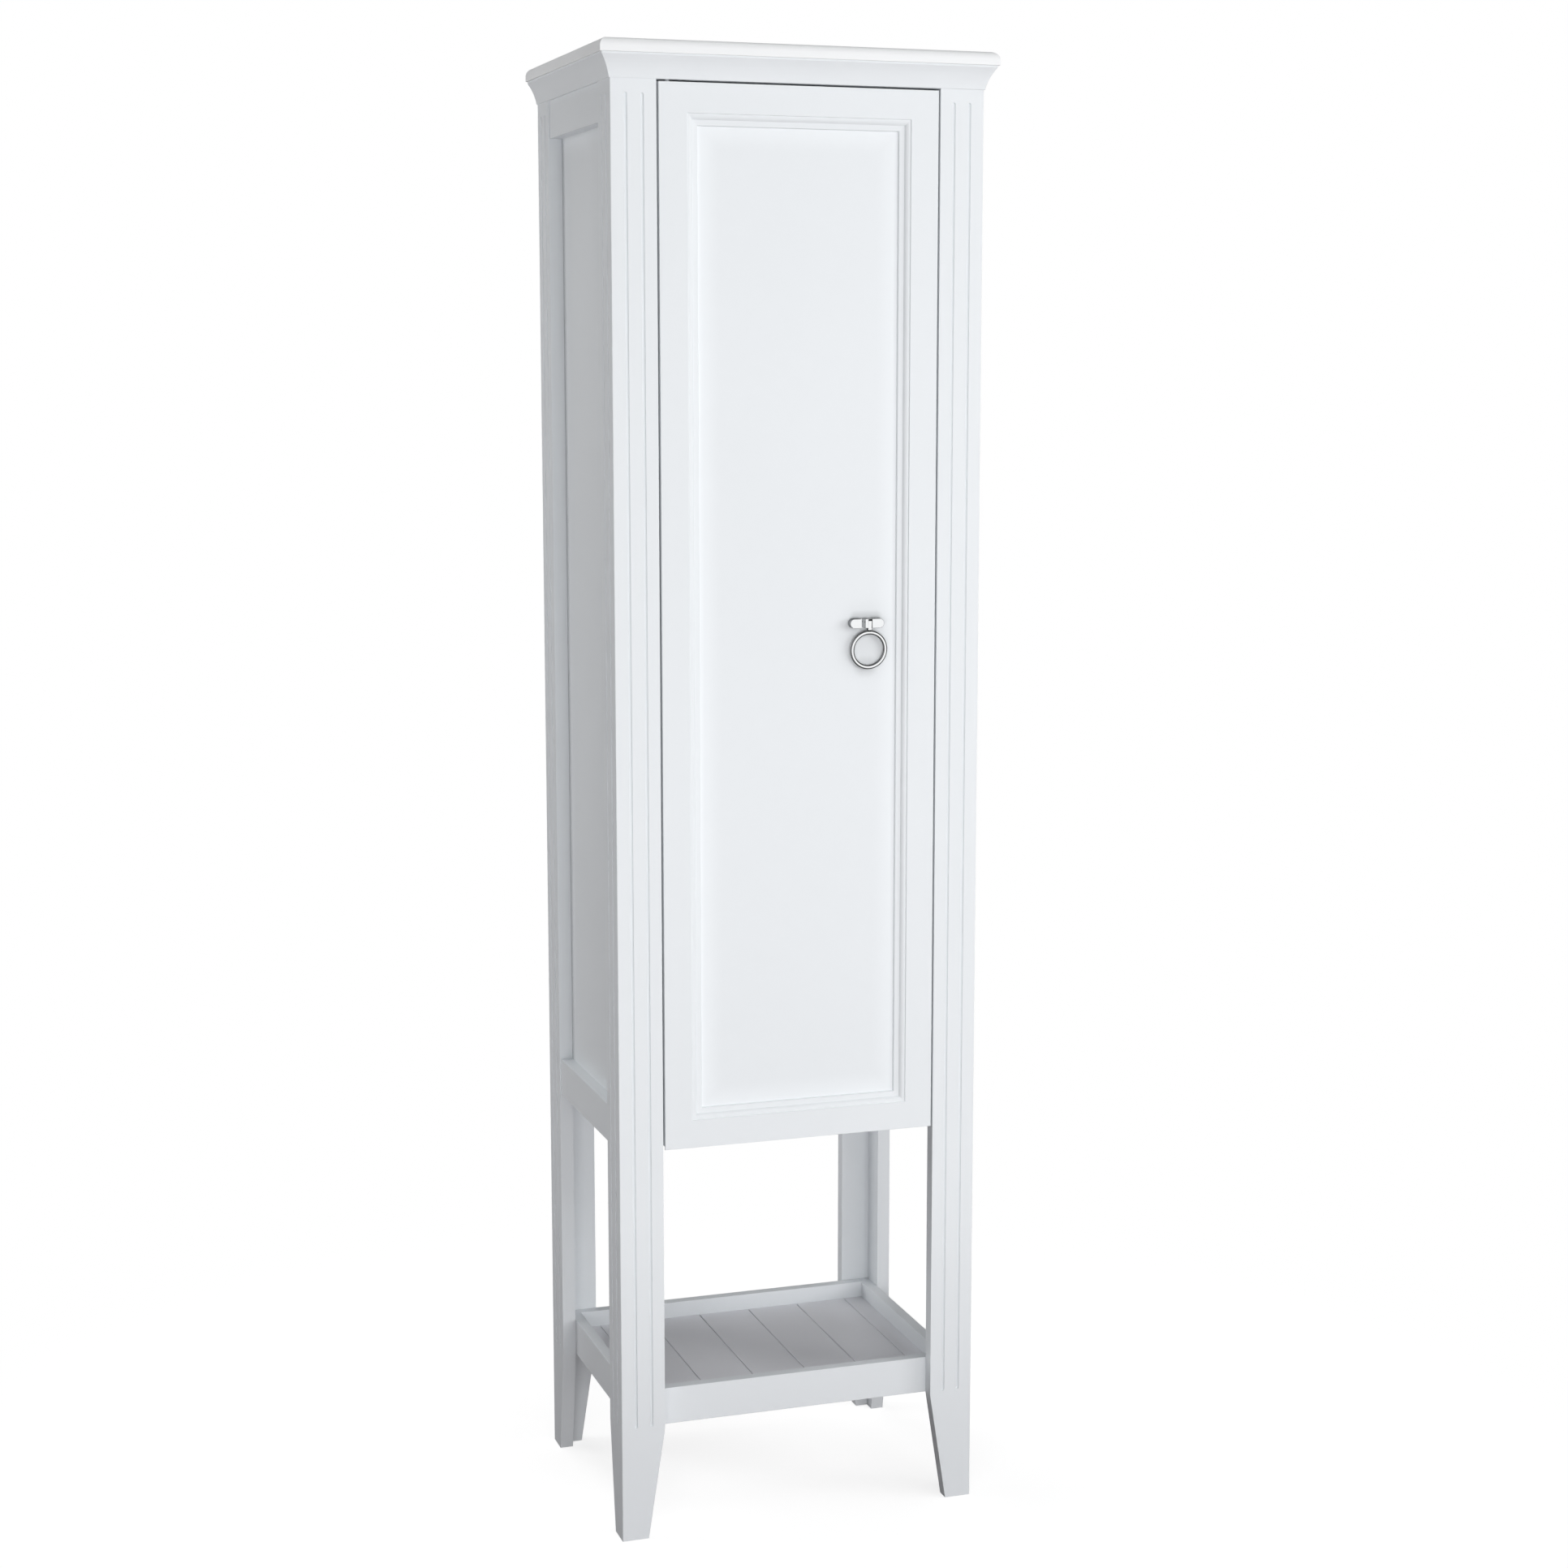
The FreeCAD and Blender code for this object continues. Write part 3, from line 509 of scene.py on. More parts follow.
def easedBoard(node, material, slot, radius=easing["radius"]):
    # the board again, with the arrises that are in the open rounded over
    shaper = cadShape(node)
    bmesh.ops.dissolve_limit(shaper, angle_limit=math.radians(easing["flattest"]),
                             verts=shaper.verts, edges=shaper.edges)
    picked = [edge for edge in shaper.edges if isArris(edge, node)]
    pullShadows = shaper.faces.layers.float.new("arris")
    if picked:
        for face in rounded(shaper, picked, radius)["faces"]:
            face[pullShadows] = 1.0
    takeMesh(node + "Eased", shaper, material, node)


outerBoards = ["%s_%s_post_%s" % (place, side, part) for place in ("front", "back")
               for side in ("left", "right") for part in ("face", "side")]
outerBoards += ["cornice_" + part for part in ("slab", "front", "left", "right", "back_rail")]
outerBoards += ["%s_%s_rail" % (side, level) for level in ("bottom", "top")
                for side in ("left", "right", "back")]
outerBoards += ["tray_%s_rail" % side for side in ("front", "back", "left", "right")]
outerBoards.append("tray_cleats")
innerBoards = ["left_side_panel", "right_side_panel", "bottom_panel", "top_panel",
               "back_panel", "shelf_1", "shelf_2", "shelf_3"]
for node in outerBoards:
    easedBoard(node, "slabLacquer" if node == "cornice_slab" else "whiteLacquer",
               "white_lacquer")
easedBoard("door_panel", "panelLacquer", "white_lacquer")
for node in innerBoards:
    easedBoard(node, "insideLacquer", "interior_lacquer")

fittings = {
    # finish, slot, and radius of the arrises
    "strike_plate": ("zincPlate", "bracket_steel", 0.25 * mm),
    "wall_bracket": ("zincPlate", "bracket_steel", 0.4 * mm),
    "bottom_pivot_bracket": ("zincPlate", "bracket_steel", 0.3 * mm),
    # sprayed over with the carcass
    "top_pivot_plate": ("insideLacquer", "bracket_steel", 0.25 * mm),
    "magnetic_catch": ("whiteNylon", "bush_plastic", 0.5 * mm),
}
for node, values in fittings.items():
    easedBoard(node, *values)
print("boards: eased", len(outerBoards) + len(innerBoards) + 1, "and", len(fittings),
      "fittings")


def arcPoints(start, middle, end, steps):
    # points along the arc through three places in the plane
    (ax, ay), (bx, by), (cx, cy) = start, middle, end
    d = 2 * (ax * (by - cy) + bx * (cy - ay) + cx * (ay - by))
    a2, b2, c2 = ax * ax + ay * ay, bx * bx + by * by, cx * cx + cy * cy
    ux = (a2 * (by - cy) + b2 * (cy - ay) + c2 * (ay - by)) / d
    uy = (a2 * (cx - bx) + b2 * (ax - cx) + c2 * (bx - ax)) / d
    radius = math.hypot(ax - ux, ay - uy)
    first = math.atan2(ay - uy, ax - ux)
    sweep = math.remainder(math.atan2(cy - uy, cx - ux) - first, 2 * math.pi)
    return [(ux + radius * math.cos(first + sweep * i / steps),
             uy + radius * math.sin(first + sweep * i / steps)) for i in range(steps + 1)]


def softened(outline, steps=4, mostShare=0.45):
    # a closed outline of (x, y, radius) with its corners rounded, each over no more than
    # a share of its two sides
    points = []
    for index, (x, y, radius) in enumerate(outline):
        corner = Vector((x, y))
        if not radius:
            points.append((x, y))
            continue
        before = Vector(outline[index - 1][:2]) - corner
        after = Vector(outline[(index + 1) % len(outline)][:2]) - corner
        half = before.angle(after) / 2
        reach = min(radius / math.tan(half), before.length * mostShare,
                    after.length * mostShare)
        start = corner + before.normalized() * reach
        end = corner + after.normalized() * reach
        inward = (before.normalized() + after.normalized()).normalized()
        bulge = reach / math.cos(half) - reach * math.tan(half)
        points += arcPoints(start, corner + inward * bulge, end, steps)
    return points


def loftedShape(starts, ends):
    # two outlines joined all round, and closed; their own faces come last
    shaper = bmesh.new()
    near, far = ([shaper.verts.new(point) for point in points] for points in (starts, ends))
    for i in range(len(near)):
        j = (i + 1) % len(near)
        shaper.faces.new((near[i], near[j], far[j], far[i]))
    shaper.faces.new(near)
    shaper.faces.new(far)
    shaper.faces.ensure_lookup_table()
    return shaper


def outwards(shaper):
    bmesh.ops.recalc_face_normals(shaper, faces=shaper.faces)
    return shaper


def turnedShape(profile, segments):
    # a closed body turned about Z; the profile is (radius, height), from axis to axis
    # or round to its own start
    shaper = bmesh.new()
    angles = [2 * math.pi * i / segments for i in range(segments)]
    closed = profile[0] == profile[-1]
    rings = []
    for radius, height in profile[:-1] if closed else profile:
        around = angles if radius else angles[:1]
        rings.append([shaper.verts.new((radius * math.cos(a), radius * math.sin(a), height))
                      for a in around])
    if closed:
        rings.append(rings[0])
    for below, above in zip(rings, rings[1:]):
        for i in range(segments):
            j = (i + 1) % segments
            corners = (below[i % len(below)], below[j % len(below)],
                       above[j % len(above)], above[i % len(above)])
            shaper.faces.new(list(dict.fromkeys(corners)))
    return outwards(shaper)


def rodShape(radius, low, high, segments):
    return turnedShape([(0, low), (radius, low), (radius, high), (0, high)], segments)


def rimmedProfile(radius, low, high, lowRim, highRim, steps=4):
    # a rod's half section, with its two rims rounded
    angles = [math.pi / 2 * step / steps for step in range(steps + 1)]
    return ([(0, low)]
            + [(radius - lowRim * (1 - math.sin(angle)), low + lowRim * (1 - math.cos(angle)))
               for angle in angles]
            + [(radius - highRim * (1 - math.cos(angle)),
                high - highRim * (1 - math.sin(angle))) for angle in angles]
            + [(0, high)])


def aimed(shaper, place, way):
    # moved from the origin to a place, with its Z turned to a direction
    turn = Vector(way).to_track_quat("Z", "Y").to_matrix().to_4x4()
    bmesh.ops.transform(shaper, matrix=Matrix.Translation(place) @ turn, verts=shaper.verts)
    return shaper


def middleOf(box):
    return (box[0] + box[1]) / 2


def blockShape(low, high):
    shaper = bmesh.new()
    bmesh.ops.create_cube(shaper, size=1.0)
    low, high = Vector(low), Vector(high)
    for vert in shaper.verts:
        vert.co = middleOf((low, high)) + vert.co * (high - low)
    return shaper


def carved(base, cuts, joined=()):
    # a shape with others joined to it and then cut from it
    things = [placedObject("carving", meshOf("carving", shaper))
              for shaper in (base, *joined, *cuts)]
    kinds = ["UNION"] * len(joined) + ["DIFFERENCE"] * len(cuts)
    for kind, tool in zip(kinds, things[1:]):
        cut = things[0].modifiers.new(kind, "BOOLEAN")
        cut.operation = kind
        cut.solver = "EXACT"
        cut.object = tool
    result = bmesh.new()
    result.from_mesh(settledMesh(things[0]))
    for thing in things:
        bpy.data.objects.remove(thing)
    bmesh.ops.remove_doubles(result, verts=result.verts, dist=merging["carved"])
    return result


def islandBoxes(node):
    # the corners of each separate solid of a node
    shaper = cadShape(node)
    boxes = []
    left = set(shaper.verts)
    while left:
        queue = [left.pop()]
        island = list(queue)
        while queue:
            for edge in queue.pop().link_edges:
                for vert in edge.verts:
                    if vert in left:
                        left.remove(vert)
                        queue.append(vert)
                        island.append(vert)
        boxes.append(tuple(Vector(pick(vert.co[i] for vert in island) for i in range(3))
                           for pick in (min, max)))
    shaper.free()
    return sorted(boxes, key=lambda box: tuple(round(value, 5) for value in box[0]))


# section points are the distance from the door's edge, the depth behind its face and
# the rounding there; all in millimetres
door = {
    "thick": 18.0, "width": 48.2, "arris": 0.4, "backArris": 0.5,
    "coat": 0.25,   # the lacquer's build on the door's edges, and more of it here and there
    "runs": {"left": 0.1, "right": 0.35, "top": 0.4}, "runsFrom": 0.3, "runsOver": 0.55,
    "face": (33.7, 0, 0.35),
    "step": (34.5, 1.2, 0.3),
    "ovolo": (38.7, 2.1), "ovoloSteps": 10,
    "ovoloEnd": (41.0, 4.6, 0.3),
    "bead": (47.2, 5.2, 0.55),
    "groove": (7.7, 13.7, 8.0), "grooveArris": 0.2,   # front, back, depth
    "bush": (5.0, 12.0), "bushFacets": 64,   # radius and length of its bore
    "mortise": (4.3, 5.6),    # half width, and how far it goes in front of the pivot
    "mortiseFacets": 48, "strikeHole": 1.8, "strikeFacets": 32,
    "overrun": 2.0,           # cutters go past the surface
}


def doorSection():
    grooveFront, grooveBack, grooveDepth = door["groove"]
    inner, edge, thick = door["width"], -door["coat"], door["thick"]
    step, ovoloEnd = door["step"], door["ovoloEnd"]
    deep = inner - grooveDepth
    outline = softened([
        (edge, 0, door["arris"]), door["face"], step, ovoloEnd, door["bead"],
        (inner, grooveFront, 0), (deep, grooveFront, 0), (deep, grooveBack, 0),
        (inner, grooveBack, door["grooveArris"]), (inner, thick, door["backArris"]),
        (edge, thick, door["arris"])])

    def nearest(corner):
        return min(range(len(outline)), key=lambda i: math.dist(outline[i], corner[:2]))

    # the straight run between the step and the ovolo's end becomes the ovolo
    curve = arcPoints(step[:2], door["ovolo"], ovoloEnd[:2], door["ovoloSteps"])
    return outline[:nearest(step) + 2] + curve[1:-1] + outline[nearest(ovoloEnd) - 1:]


def buildDoorFrame():
    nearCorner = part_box("door_left_stile")[0]
    doorX, front, low = -nearCorner.x, nearCorner.y, nearCorner.z
    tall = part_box("door_top_rail")[1].z
    section = [(s * mm, t * mm) for s, t in doorSection()]
    bushLow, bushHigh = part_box("pivot_bushes")
    pivot = Vector((*middleOf((bushLow, bushHigh)).xy, 0))
    radius, length = (value * mm for value in door["bush"])
    half, reach = (value * mm for value in door["mortise"])
    overrun = door["overrun"] * mm
    rear = front + door["thick"] * mm + overrun

    def bores():
        return [aimed(rodShape(radius, start, end, door["bushFacets"]), pivot, (0, 0, 1))
                for start, end in ((bushLow.z, bushLow.z + length),
                                   (bushHigh.z - length, bushHigh.z + overrun))]

    def mortise():
        start, end = low - overrun, bushLow.z
        rod = rodShape(half, start, end, door["mortiseFacets"])
        return [aimed(rod, pivot, (0, 0, 1)),
                blockShape((pivot.x - half, pivot.y, start), (pivot.x + half, rear, end)),
                blockShape((-doorX - overrun, pivot.y - reach, start), (pivot.x, rear, end))]

    def strikeHoles():
        return [aimed(rodShape(door["strikeHole"] * mm, 0, box[1].y - box[0].y + overrun,
                               door["strikeFacets"]),
                      (middleOf(box).x, box[0].y, middleOf(box).z), (0, 1, 0))
                for box in islandBoxes("strike_screws")]

    def run(s, side):
        # extra lacquer on an edge, gone past its arris
        share = (door["runsFrom"] * mm - s) / (door["runsOver"] * mm)
        return door["runs"][side] * mm * min(1.0, max(0.0, share))

    def corner(side, level):
        # the section where it meets the mitre at one of the door's corners
        way = -1 if side == "left" else 1
        return [(way * (doorX - s + run(s, side)), front + t,
                 tall - s + run(s, "top") if level == "top" else low + s)
                for s, t in section]

    members = {
        "door_left_stile": ("left", "low", "left", "top", bores() + mortise()),
        "door_right_stile": ("right", "low", "right", "top", []),
        "door_bottom_rail": ("left", "low", "right", "low", bores() + mortise()),
        "door_top_rail": ("left", "top", "right", "top", bores() + strikeHoles()),
    }
    for node, (startSide, startLevel, endSide, endLevel, cuts) in members.items():
        shaper = loftedShape(corner(startSide, startLevel), corner(endSide, endLevel))
        shaper.normal_update()
        bmesh.ops.triangulate(shaper,
                              faces=[face for face in shaper.faces if len(face.verts) > 4])
        outwards(shaper)
        if cuts:
            shaper = carved(shaper, cuts)
        takeMesh(node + "Swept", shaper, "whiteLacquer", node)


buildDoorFrame()
print("door frame: swept")


def newShapeTree(name, inputs):
    return newTree(name, "GeometryNodeTree", inputs, [("Made", "Geometry")])


def closeShapeTree(tree, shapes, paint):
    real = addNode(tree, "GeometryNodeRealizeInstances", {0: shapes})
    painted = addNode(tree, "GeometryNodeSetMaterial", {
        "Geometry": real, "Material": paint})
    addNode(tree, "NodeGroupOutput", {0: painted})


def grown(name, mesh, tree, keys, values):
    # the mesh that a tree makes of a base mesh; the modifier and the base are gone after
    holder = placedObject(name + "Base", mesh)
    grow = holder.modifiers.new("grow", "NODES")
    grow.node_group = tree
    for label, value in values.items():
        grow[keys[label]] = value
    made = settledMesh(holder)
    bpy.data.objects.remove(holder)
    return made


slatRow = {
    "wideCount": 5,
    "pitch": 69.3 * mm,
    "gap": 1.2 * mm,
    "thick": 12.0 * mm,
    "round": 0.75 * mm,   # over the long edges
    "roundSteps": 4,
}


def makeSlatTree():
    # a row of wide slats across the tray and a narrow one at each end
    tree, keys, given = newShapeTree("slatRow", [
        ("Wide Count", "Int", slatRow["wideCount"]), ("Pitch", "Float", slatRow["pitch"]),
        ("Gap", "Float", slatRow["gap"]), ("Thick", "Float", slatRow["thick"]),
        ("Edge Round", "Float", slatRow["round"]), ("Length", "Float", None),
        ("Narrow Width", "Float", None), ("Row Width", "Float", None),
        ("Middle", "Vector", None), ("Paint", "Material", None)])

    def along(axis, value):
        return addNode(tree, "ShaderNodeCombineXYZ", {axis: value})

    def slat(width):
        # one slat, lying along Y, with its long edges rounded
        board = addNode(tree, "GeometryNodeCurvePrimitiveQuadrilateral", {
            "Width": width, "Height": given["Thick"]})
        soft = addNode(tree, "GeometryNodeFilletCurve", {
            0: board, "Count": slatRow["roundSteps"],
            "Radius": given["Edge Round"]}, mode="POLY")
        start, end = (along("Y", calc(tree, "MULTIPLY", given["Length"], half))
                      for half in (-0.5, 0.5))
        run = addNode(tree, "GeometryNodeCurvePrimitiveLine", {"Start": start, "End": end})
        return addNode(tree, "GeometryNodeCurveToMesh", {
            "Curve": run, "Profile Curve": soft, "Fill Caps": True})

    def rowOf(width, count, step):
        # slats in X, each a step past the last, about the middle
        span = calc(tree, "MULTIPLY", step, calc(tree, "SUBTRACT", count, 1.0))
        places = addNode(tree, "GeometryNodeMeshLine", {
            "Count": count, "Offset": along("X", step),
            "Start Location": along("X", calc(tree, "MULTIPLY", span, -0.5))})
        return addNode(tree, "GeometryNodeInstanceOnPoints", {
            "Points": places, "Instance": slat(width)})

    both = addNode(tree, "GeometryNodeJoinGeometry")
    for width, count, step in (
            (calc(tree, "SUBTRACT", given["Pitch"], given["Gap"]), given["Wide Count"],
             given["Pitch"]),
            (given["Narrow Width"], 2,
             calc(tree, "SUBTRACT", given["Row Width"], given["Narrow Width"]))):
        feed(tree, both.inputs[0], rowOf(width, count, step))
    moved = addNode(tree, "GeometryNodeSetPosition", {
        "Geometry": both, "Offset": given["Middle"]})
    closeShapeTree(tree, moved, given["Paint"])
    return tree, keys


slatNodes = ["tray_slat_%d" % number for number in range(1, 8)]
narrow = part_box(slatNodes[0])
row = (narrow[0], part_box(slatNodes[-1])[1])
slats = grown("slats", bpy.data.meshes.new("slatsBase"), *makeSlatTree(), {
    "Length": row[1].y - row[0].y, "Narrow Width": narrow[1].x - narrow[0].x,
    "Row Width": row[1].x - row[0].x, "Middle": middleOf(row),
    "Paint": finishes["slatLacquer"]})
finishPiece("traySlats", slats, "slatLacquer", slatNodes)
print("slats: laid")


def makeCopyTree():
    # copies of a pattern on points; each point's way is where the pattern's Z goes
    tree, keys, given = newShapeTree("placeCopies", [
        ("Spots", "Geometry", None), ("Pattern", "Object", None),
        ("Most Turn", "Float", 0.0), ("Seed", "Int", 7), ("Paint", "Material", None)])
    pattern = addNode(tree, "GeometryNodeObjectInfo", {
        "Object": given["Pattern"], "As Instance": True})
    way = addNode(tree, "GeometryNodeInputNamedAttribute", {"Name": "way"},
                  data_type="FLOAT_VECTOR")
    aim = addNode(tree, "FunctionNodeAlignRotationToVector", {
        "Vector": way.outputs["Attribute"]}, axis="Z")
    chance = addNode(tree, "FunctionNodeRandomValue", {
        2: 0.0, 3: given["Most Turn"], "Seed": given["Seed"]}, data_type="FLOAT")
    spin = addNode(tree, "FunctionNodeAxisAngleToRotation", {"Angle": chance.outputs[1]})
    turn = addNode(tree, "FunctionNodeRotateRotation", {
        "Rotation": aim, "Rotate By": spin}, rotation_space="LOCAL")
    copies = addNode(tree, "GeometryNodeInstanceOnPoints", {
        "Points": given["Spots"], "Instance": pattern.outputs["Geometry"],
        "Rotation": turn})
    closeShapeTree(tree, copies, given["Paint"])
    return tree, keys


copyTree, copyKeys = makeCopyTree()


def copiesOf(pattern, spots, material, turn=0.0):
    # a bmesh pattern at each (place, way)
    holder = placedObject("pattern", meshOf("pattern", pattern))
    mesh = bpy.data.meshes.new("spots")
    mesh.from_pydata([place for place, way in spots], [], [])
    ways = mesh.attributes.new("way", "FLOAT_VECTOR", "POINT")
    for index, (place, way) in enumerate(spots):
        ways.data[index].vector = way
    made = grown("copies", mesh, copyTree, copyKeys, {
        "Pattern": holder, "Most Turn": turn, "Paint": finishes[material]})
    bpy.data.objects.remove(holder)
    return made


def placeCopies(name, material, node, groups, turn=0.0):
    # a piece of copies, of one pattern or more; each group is a pattern and its spots
    whole = bmesh.new()
    for pattern, spots in groups:
        whole.from_mesh(copiesOf(pattern, spots, material, turn))
    takeMesh(name, whole, material, node)


def fromBelow(box, lift=0.0):
    # a spot at the middle of a solid's foot, with its way up
    return (middleOf(box).x, middleOf(box).y, box[0].z + lift), (0, 0, 1)


def fromBehind(box, lift=0.0):
    return (middleOf(box).x, box[1].y - lift, middleOf(box).z), (0, -1, 0)


woodScrew = {
    "shank": 1.8 * mm, "root": 1.45 * mm, "length": 12.0 * mm, "threadPitch": 1.4 * mm,
    "plain": 2.4 * mm, "tip": 2.6 * mm, "headRadius": 3.6 * mm, "headHigh": 1.8 * mm,
    "cross": (4.0 * mm, 0.8 * mm, 1.3 * mm),   # recess across, its slot and its depth
}
machineScrew = {
    "shank": 2.0 * mm, "root": 1.75 * mm, "length": 12.0 * mm, "threadPitch": 0.7 * mm,
    "plain": 0.5 * mm, "tip": 0.6 * mm, "headRadius": 4.0 * mm, "headHigh": 2.2 * mm,
    "cross": (4.4 * mm, 0.9 * mm, 1.5 * mm),
}
screwCut = {
    "headEdge": 0.1 * mm, "flatEdge": 0.12 * mm,
    "dome": 0.55,             # the pan head's rounding, as a share of its height
    "thread": (0.3, 0.6),     # where a turn is at its root, as a share of the pitch
    "runOut": 0.3 * mm, "point": 0.35,   # the tip, as a share of the root
    "above": 1.0 * mm,        # the cross is cut from here down
    "panLonger": 0.5 * mm,    # a screw that is this much too long has a pan head
    "domeSteps": 5, "facets": 32, "mostTurn": 90.0,   # degrees that a screw is turned by
}


def screwPattern(sizes, flat):
    # a screw with its seat at the origin and its shank along +Z, and a cross in its head
    shank, root, pitch = sizes["shank"], sizes["root"], sizes["threadPitch"]
    head, high, edge = sizes["headRadius"], sizes["headHigh"], screwCut["headEdge"]
    if flat:
        profile = [(0, 0), (head - edge, 0), (head, screwCut["flatEdge"]), (shank, high)]
    else:
        profile = rimmedProfile(head, -high, 0, high * screwCut["dome"], edge,
                                screwCut["domeSteps"])[:-1]
        profile += [(shank, 0)]
    top = 0 if flat else -high
    z = max(sizes["plain"], high if flat else 0)
    profile += [(shank, z)]
    threadEnd = sizes["length"] - sizes["tip"]
    while z + pitch < threadEnd:
        profile += [(root, z + pitch * share) for share in screwCut["thread"]]
        z += pitch
        profile += [(shank, z)]
    profile += [(root, z + screwCut["runOut"]), (root, threadEnd),
                (root * screwCut["point"], sizes["length"]), (0, sizes["length"])]
    across, slot, depth = sizes["cross"]
    cuts = [blockShape((-wide / 2, -deep / 2, top - screwCut["above"]),
                       (wide / 2, deep / 2, top + depth))
            for wide, deep in ((across, slot), (slot, across))]
    return carved(turnedShape(profile, screwCut["facets"]), cuts)


def placeScrews(name, node, groups):
    placeCopies(name, "screwSteel", node,
                [(screwPattern(sizes, flat), spots) for sizes, flat, spots in groups],
                math.radians(screwCut["mostTurn"]))


def buildScrews():
    flat, pan = [], []
    for box in islandBoxes("hardware_screws"):
        if box[1].z - box[0].z < woodScrew["length"] + screwCut["panLonger"]:
            flat.append(fromBelow(box))
        else:
            pan.append(fromBelow(box, woodScrew["headHigh"]))
    placeScrews("hardwareScrews", "hardware_screws", [
        (woodScrew, True, flat), (woodScrew, False, pan)])
    placeScrews("strikeScrews", "strike_screws", [
        (woodScrew, True, [fromBehind(box) for box in islandBoxes("strike_screws")])])
    placeScrews("handleScrews", "handle_screws", [
        (machineScrew, False, [fromBehind(box, machineScrew["headHigh"])
                               for box in islandBoxes("handle_screws")])])


def placeTurned(name, material, node, profileOf, facets, spotOf):
    # a turned shape at each solid of a node; they are all one size
    boxes = islandBoxes(node)
    profile = profileOf(boxes[0][1] - boxes[0][0])
    placeCopies(name, material, node,
                [(turnedShape(profile, facets), [spotOf(box) for box in boxes])])


shelfPin = {
    "rims": (0.5 * mm, 0.7 * mm), "facets": 40,
    # how far along the groove is, and how deep
    "groove": ((7.7 * mm, 0), (7.9 * mm, 0.25 * mm), (8.1 * mm, 0.25 * mm), (8.3 * mm, 0)),
}


def pinProfile(size):
    profile = rimmedProfile(size.z / 2, 0, size.x, *shelfPin["rims"])
    half = len(profile) // 2
    groove = [(size.z / 2 - deep, along) for along, deep in shelfPin["groove"]]
    return profile[:half] + groove + profile[half:]


def inPanel(box):
    # a spot at a pin's end in the side panel, with its way to the inside
    right = box[0].x > 0
    return (box[right].x, middleOf(box).y, middleOf(box).z), (-1 if right else 1, 0, 0)


footGlide = {
    "rims": (0.5 * mm, 0.2 * mm), "facets": 48,
    "dish": [(0, 0.25 * mm), (2.0 * mm, 0.25 * mm), (2.6 * mm, 0)],   # radius and height
}


def glideProfile(size):
    return footGlide["dish"] + rimmedProfile(size.x / 2, 0, size.z, *footGlide["rims"])[1:]


doorBumper = {"rims": (0.2 * mm, 2.4 * mm, 6), "facets": 40}   # radii and steps


def bumperProfile(size):
    return rimmedProfile(size.x / 2, 0, size.y, *doorBumper["rims"])


pivotBush = {"bore": 2.55 * mm, "rim": 0.3 * mm, "facets": 64}


def bushProfile(size):
    outer, inner, high, rim = size.x / 2, pivotBush["bore"], size.z, pivotBush["rim"]
    return [(inner + rim, 0), (outer - rim, 0), (outer, rim), (outer, high - rim),
            (outer - rim, high), (inner + rim, high), (inner, high - rim), (inner, rim),
            (inner + rim, 0)]


buildScrews()
placeTurned("shelfPins", "zincPlate", "shelf_pins", pinProfile,
            shelfPin["facets"], inPanel)
placeTurned("footGlides", "glidePlastic", "foot_glides", glideProfile,
            footGlide["facets"], fromBelow)
placeTurned("doorBumpers", "softBuffer", "door_bumpers", bumperProfile,
            doorBumper["facets"], fromBehind)
placeTurned("pivotBushes", "greyNylon", "pivot_bushes", bushProfile,
            pivotBush["facets"], fromBelow)
print("fasteners: placed")


pull = {
    "x": 88.5 * mm, "pinZ": 1126.4 * mm, "pinBehind": 0.9 * mm, "pinRadius": 1.1 * mm,
    "pinRim": 0.15 * mm, "pinFacets": 40, "bore": 1.15 * mm, "overrun": 1.0 * mm,
    "channels": ((76.4, 82.5), (85.9, 91.1)),   # millimetres, left to right
    "channelFloor": 5.0 * mm, "channelPast": 2.0 * mm,
    "plateEdge": 0.5 * mm, "plateSteps": 24,
    "stemLength": 13.0 * mm, "stemThick": 4.9 * mm, "stemEdge": 0.5 * mm,
    # half width of the stem at distances down from the pin, millimetres
    "stem": ((2.4, 0.0), (2.4, 7.6), (2.65, 10.0)), "stemTurn": 35.0,
    # radius of the neck, and where it starts below the pin
    "neck": (1.9 * mm, 9.0 * mm), "neckFacets": 32,
    "knuckle": 2.45 * mm, "knuckleEdge": 0.5 * mm, "knuckleFacets": 48,
    "stemWidth": 4.8 * mm,
    "ring": 21.2 * mm, "wire": 2.4 * mm, "around": 180, "across": 40,
    "panelBehind": 7.7 * mm, "ringPlay": 0.3 * mm,
}


def buildPlate(front, pinBox):
    # a plate with round ends, two channels down its face and a bore for the pin
    low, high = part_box("handle_plate")
    radius, midZ = (high.z - low.z) / 2, (high.z + low.z) / 2
    outline = []
    for centreX, start in ((high.x - radius, -math.pi / 2), (low.x + radius, math.pi / 2)):
        for step in range(pull["plateSteps"] + 1):
            angle = start + math.pi * step / pull["plateSteps"]
            outline.append((centreX + radius * math.cos(angle),
                            midZ + radius * math.sin(angle)))
    shaper = outwards(loftedShape([(x, low.y, z) for x, z in outline],
                                  [(x, high.y, z) for x, z in outline]))
    rounded(shaper, list(shaper.faces[-2].edges), pull["plateEdge"], clamp=False)
    past = pull["channelPast"]
    cuts = [blockShape((x0 * mm, low.y - past, low.z - past),
                       (x1 * mm, front + pull["channelFloor"], high.z + past))
            for x0, x1 in pull["channels"]]
    pin = middleOf(pinBox)
    hole = rodShape(pull["pinRadius"], 0, pinBox[1].x - pinBox[0].x + pull["overrun"],
                    pull["pinFacets"])
    cuts.append(aimed(hole, (pinBox[1].x, pin.y, pin.z), (-1, 0, 0)))
    takeMesh("handlePlate", carved(shaper, cuts), "polishedChrome", "handle_plate")


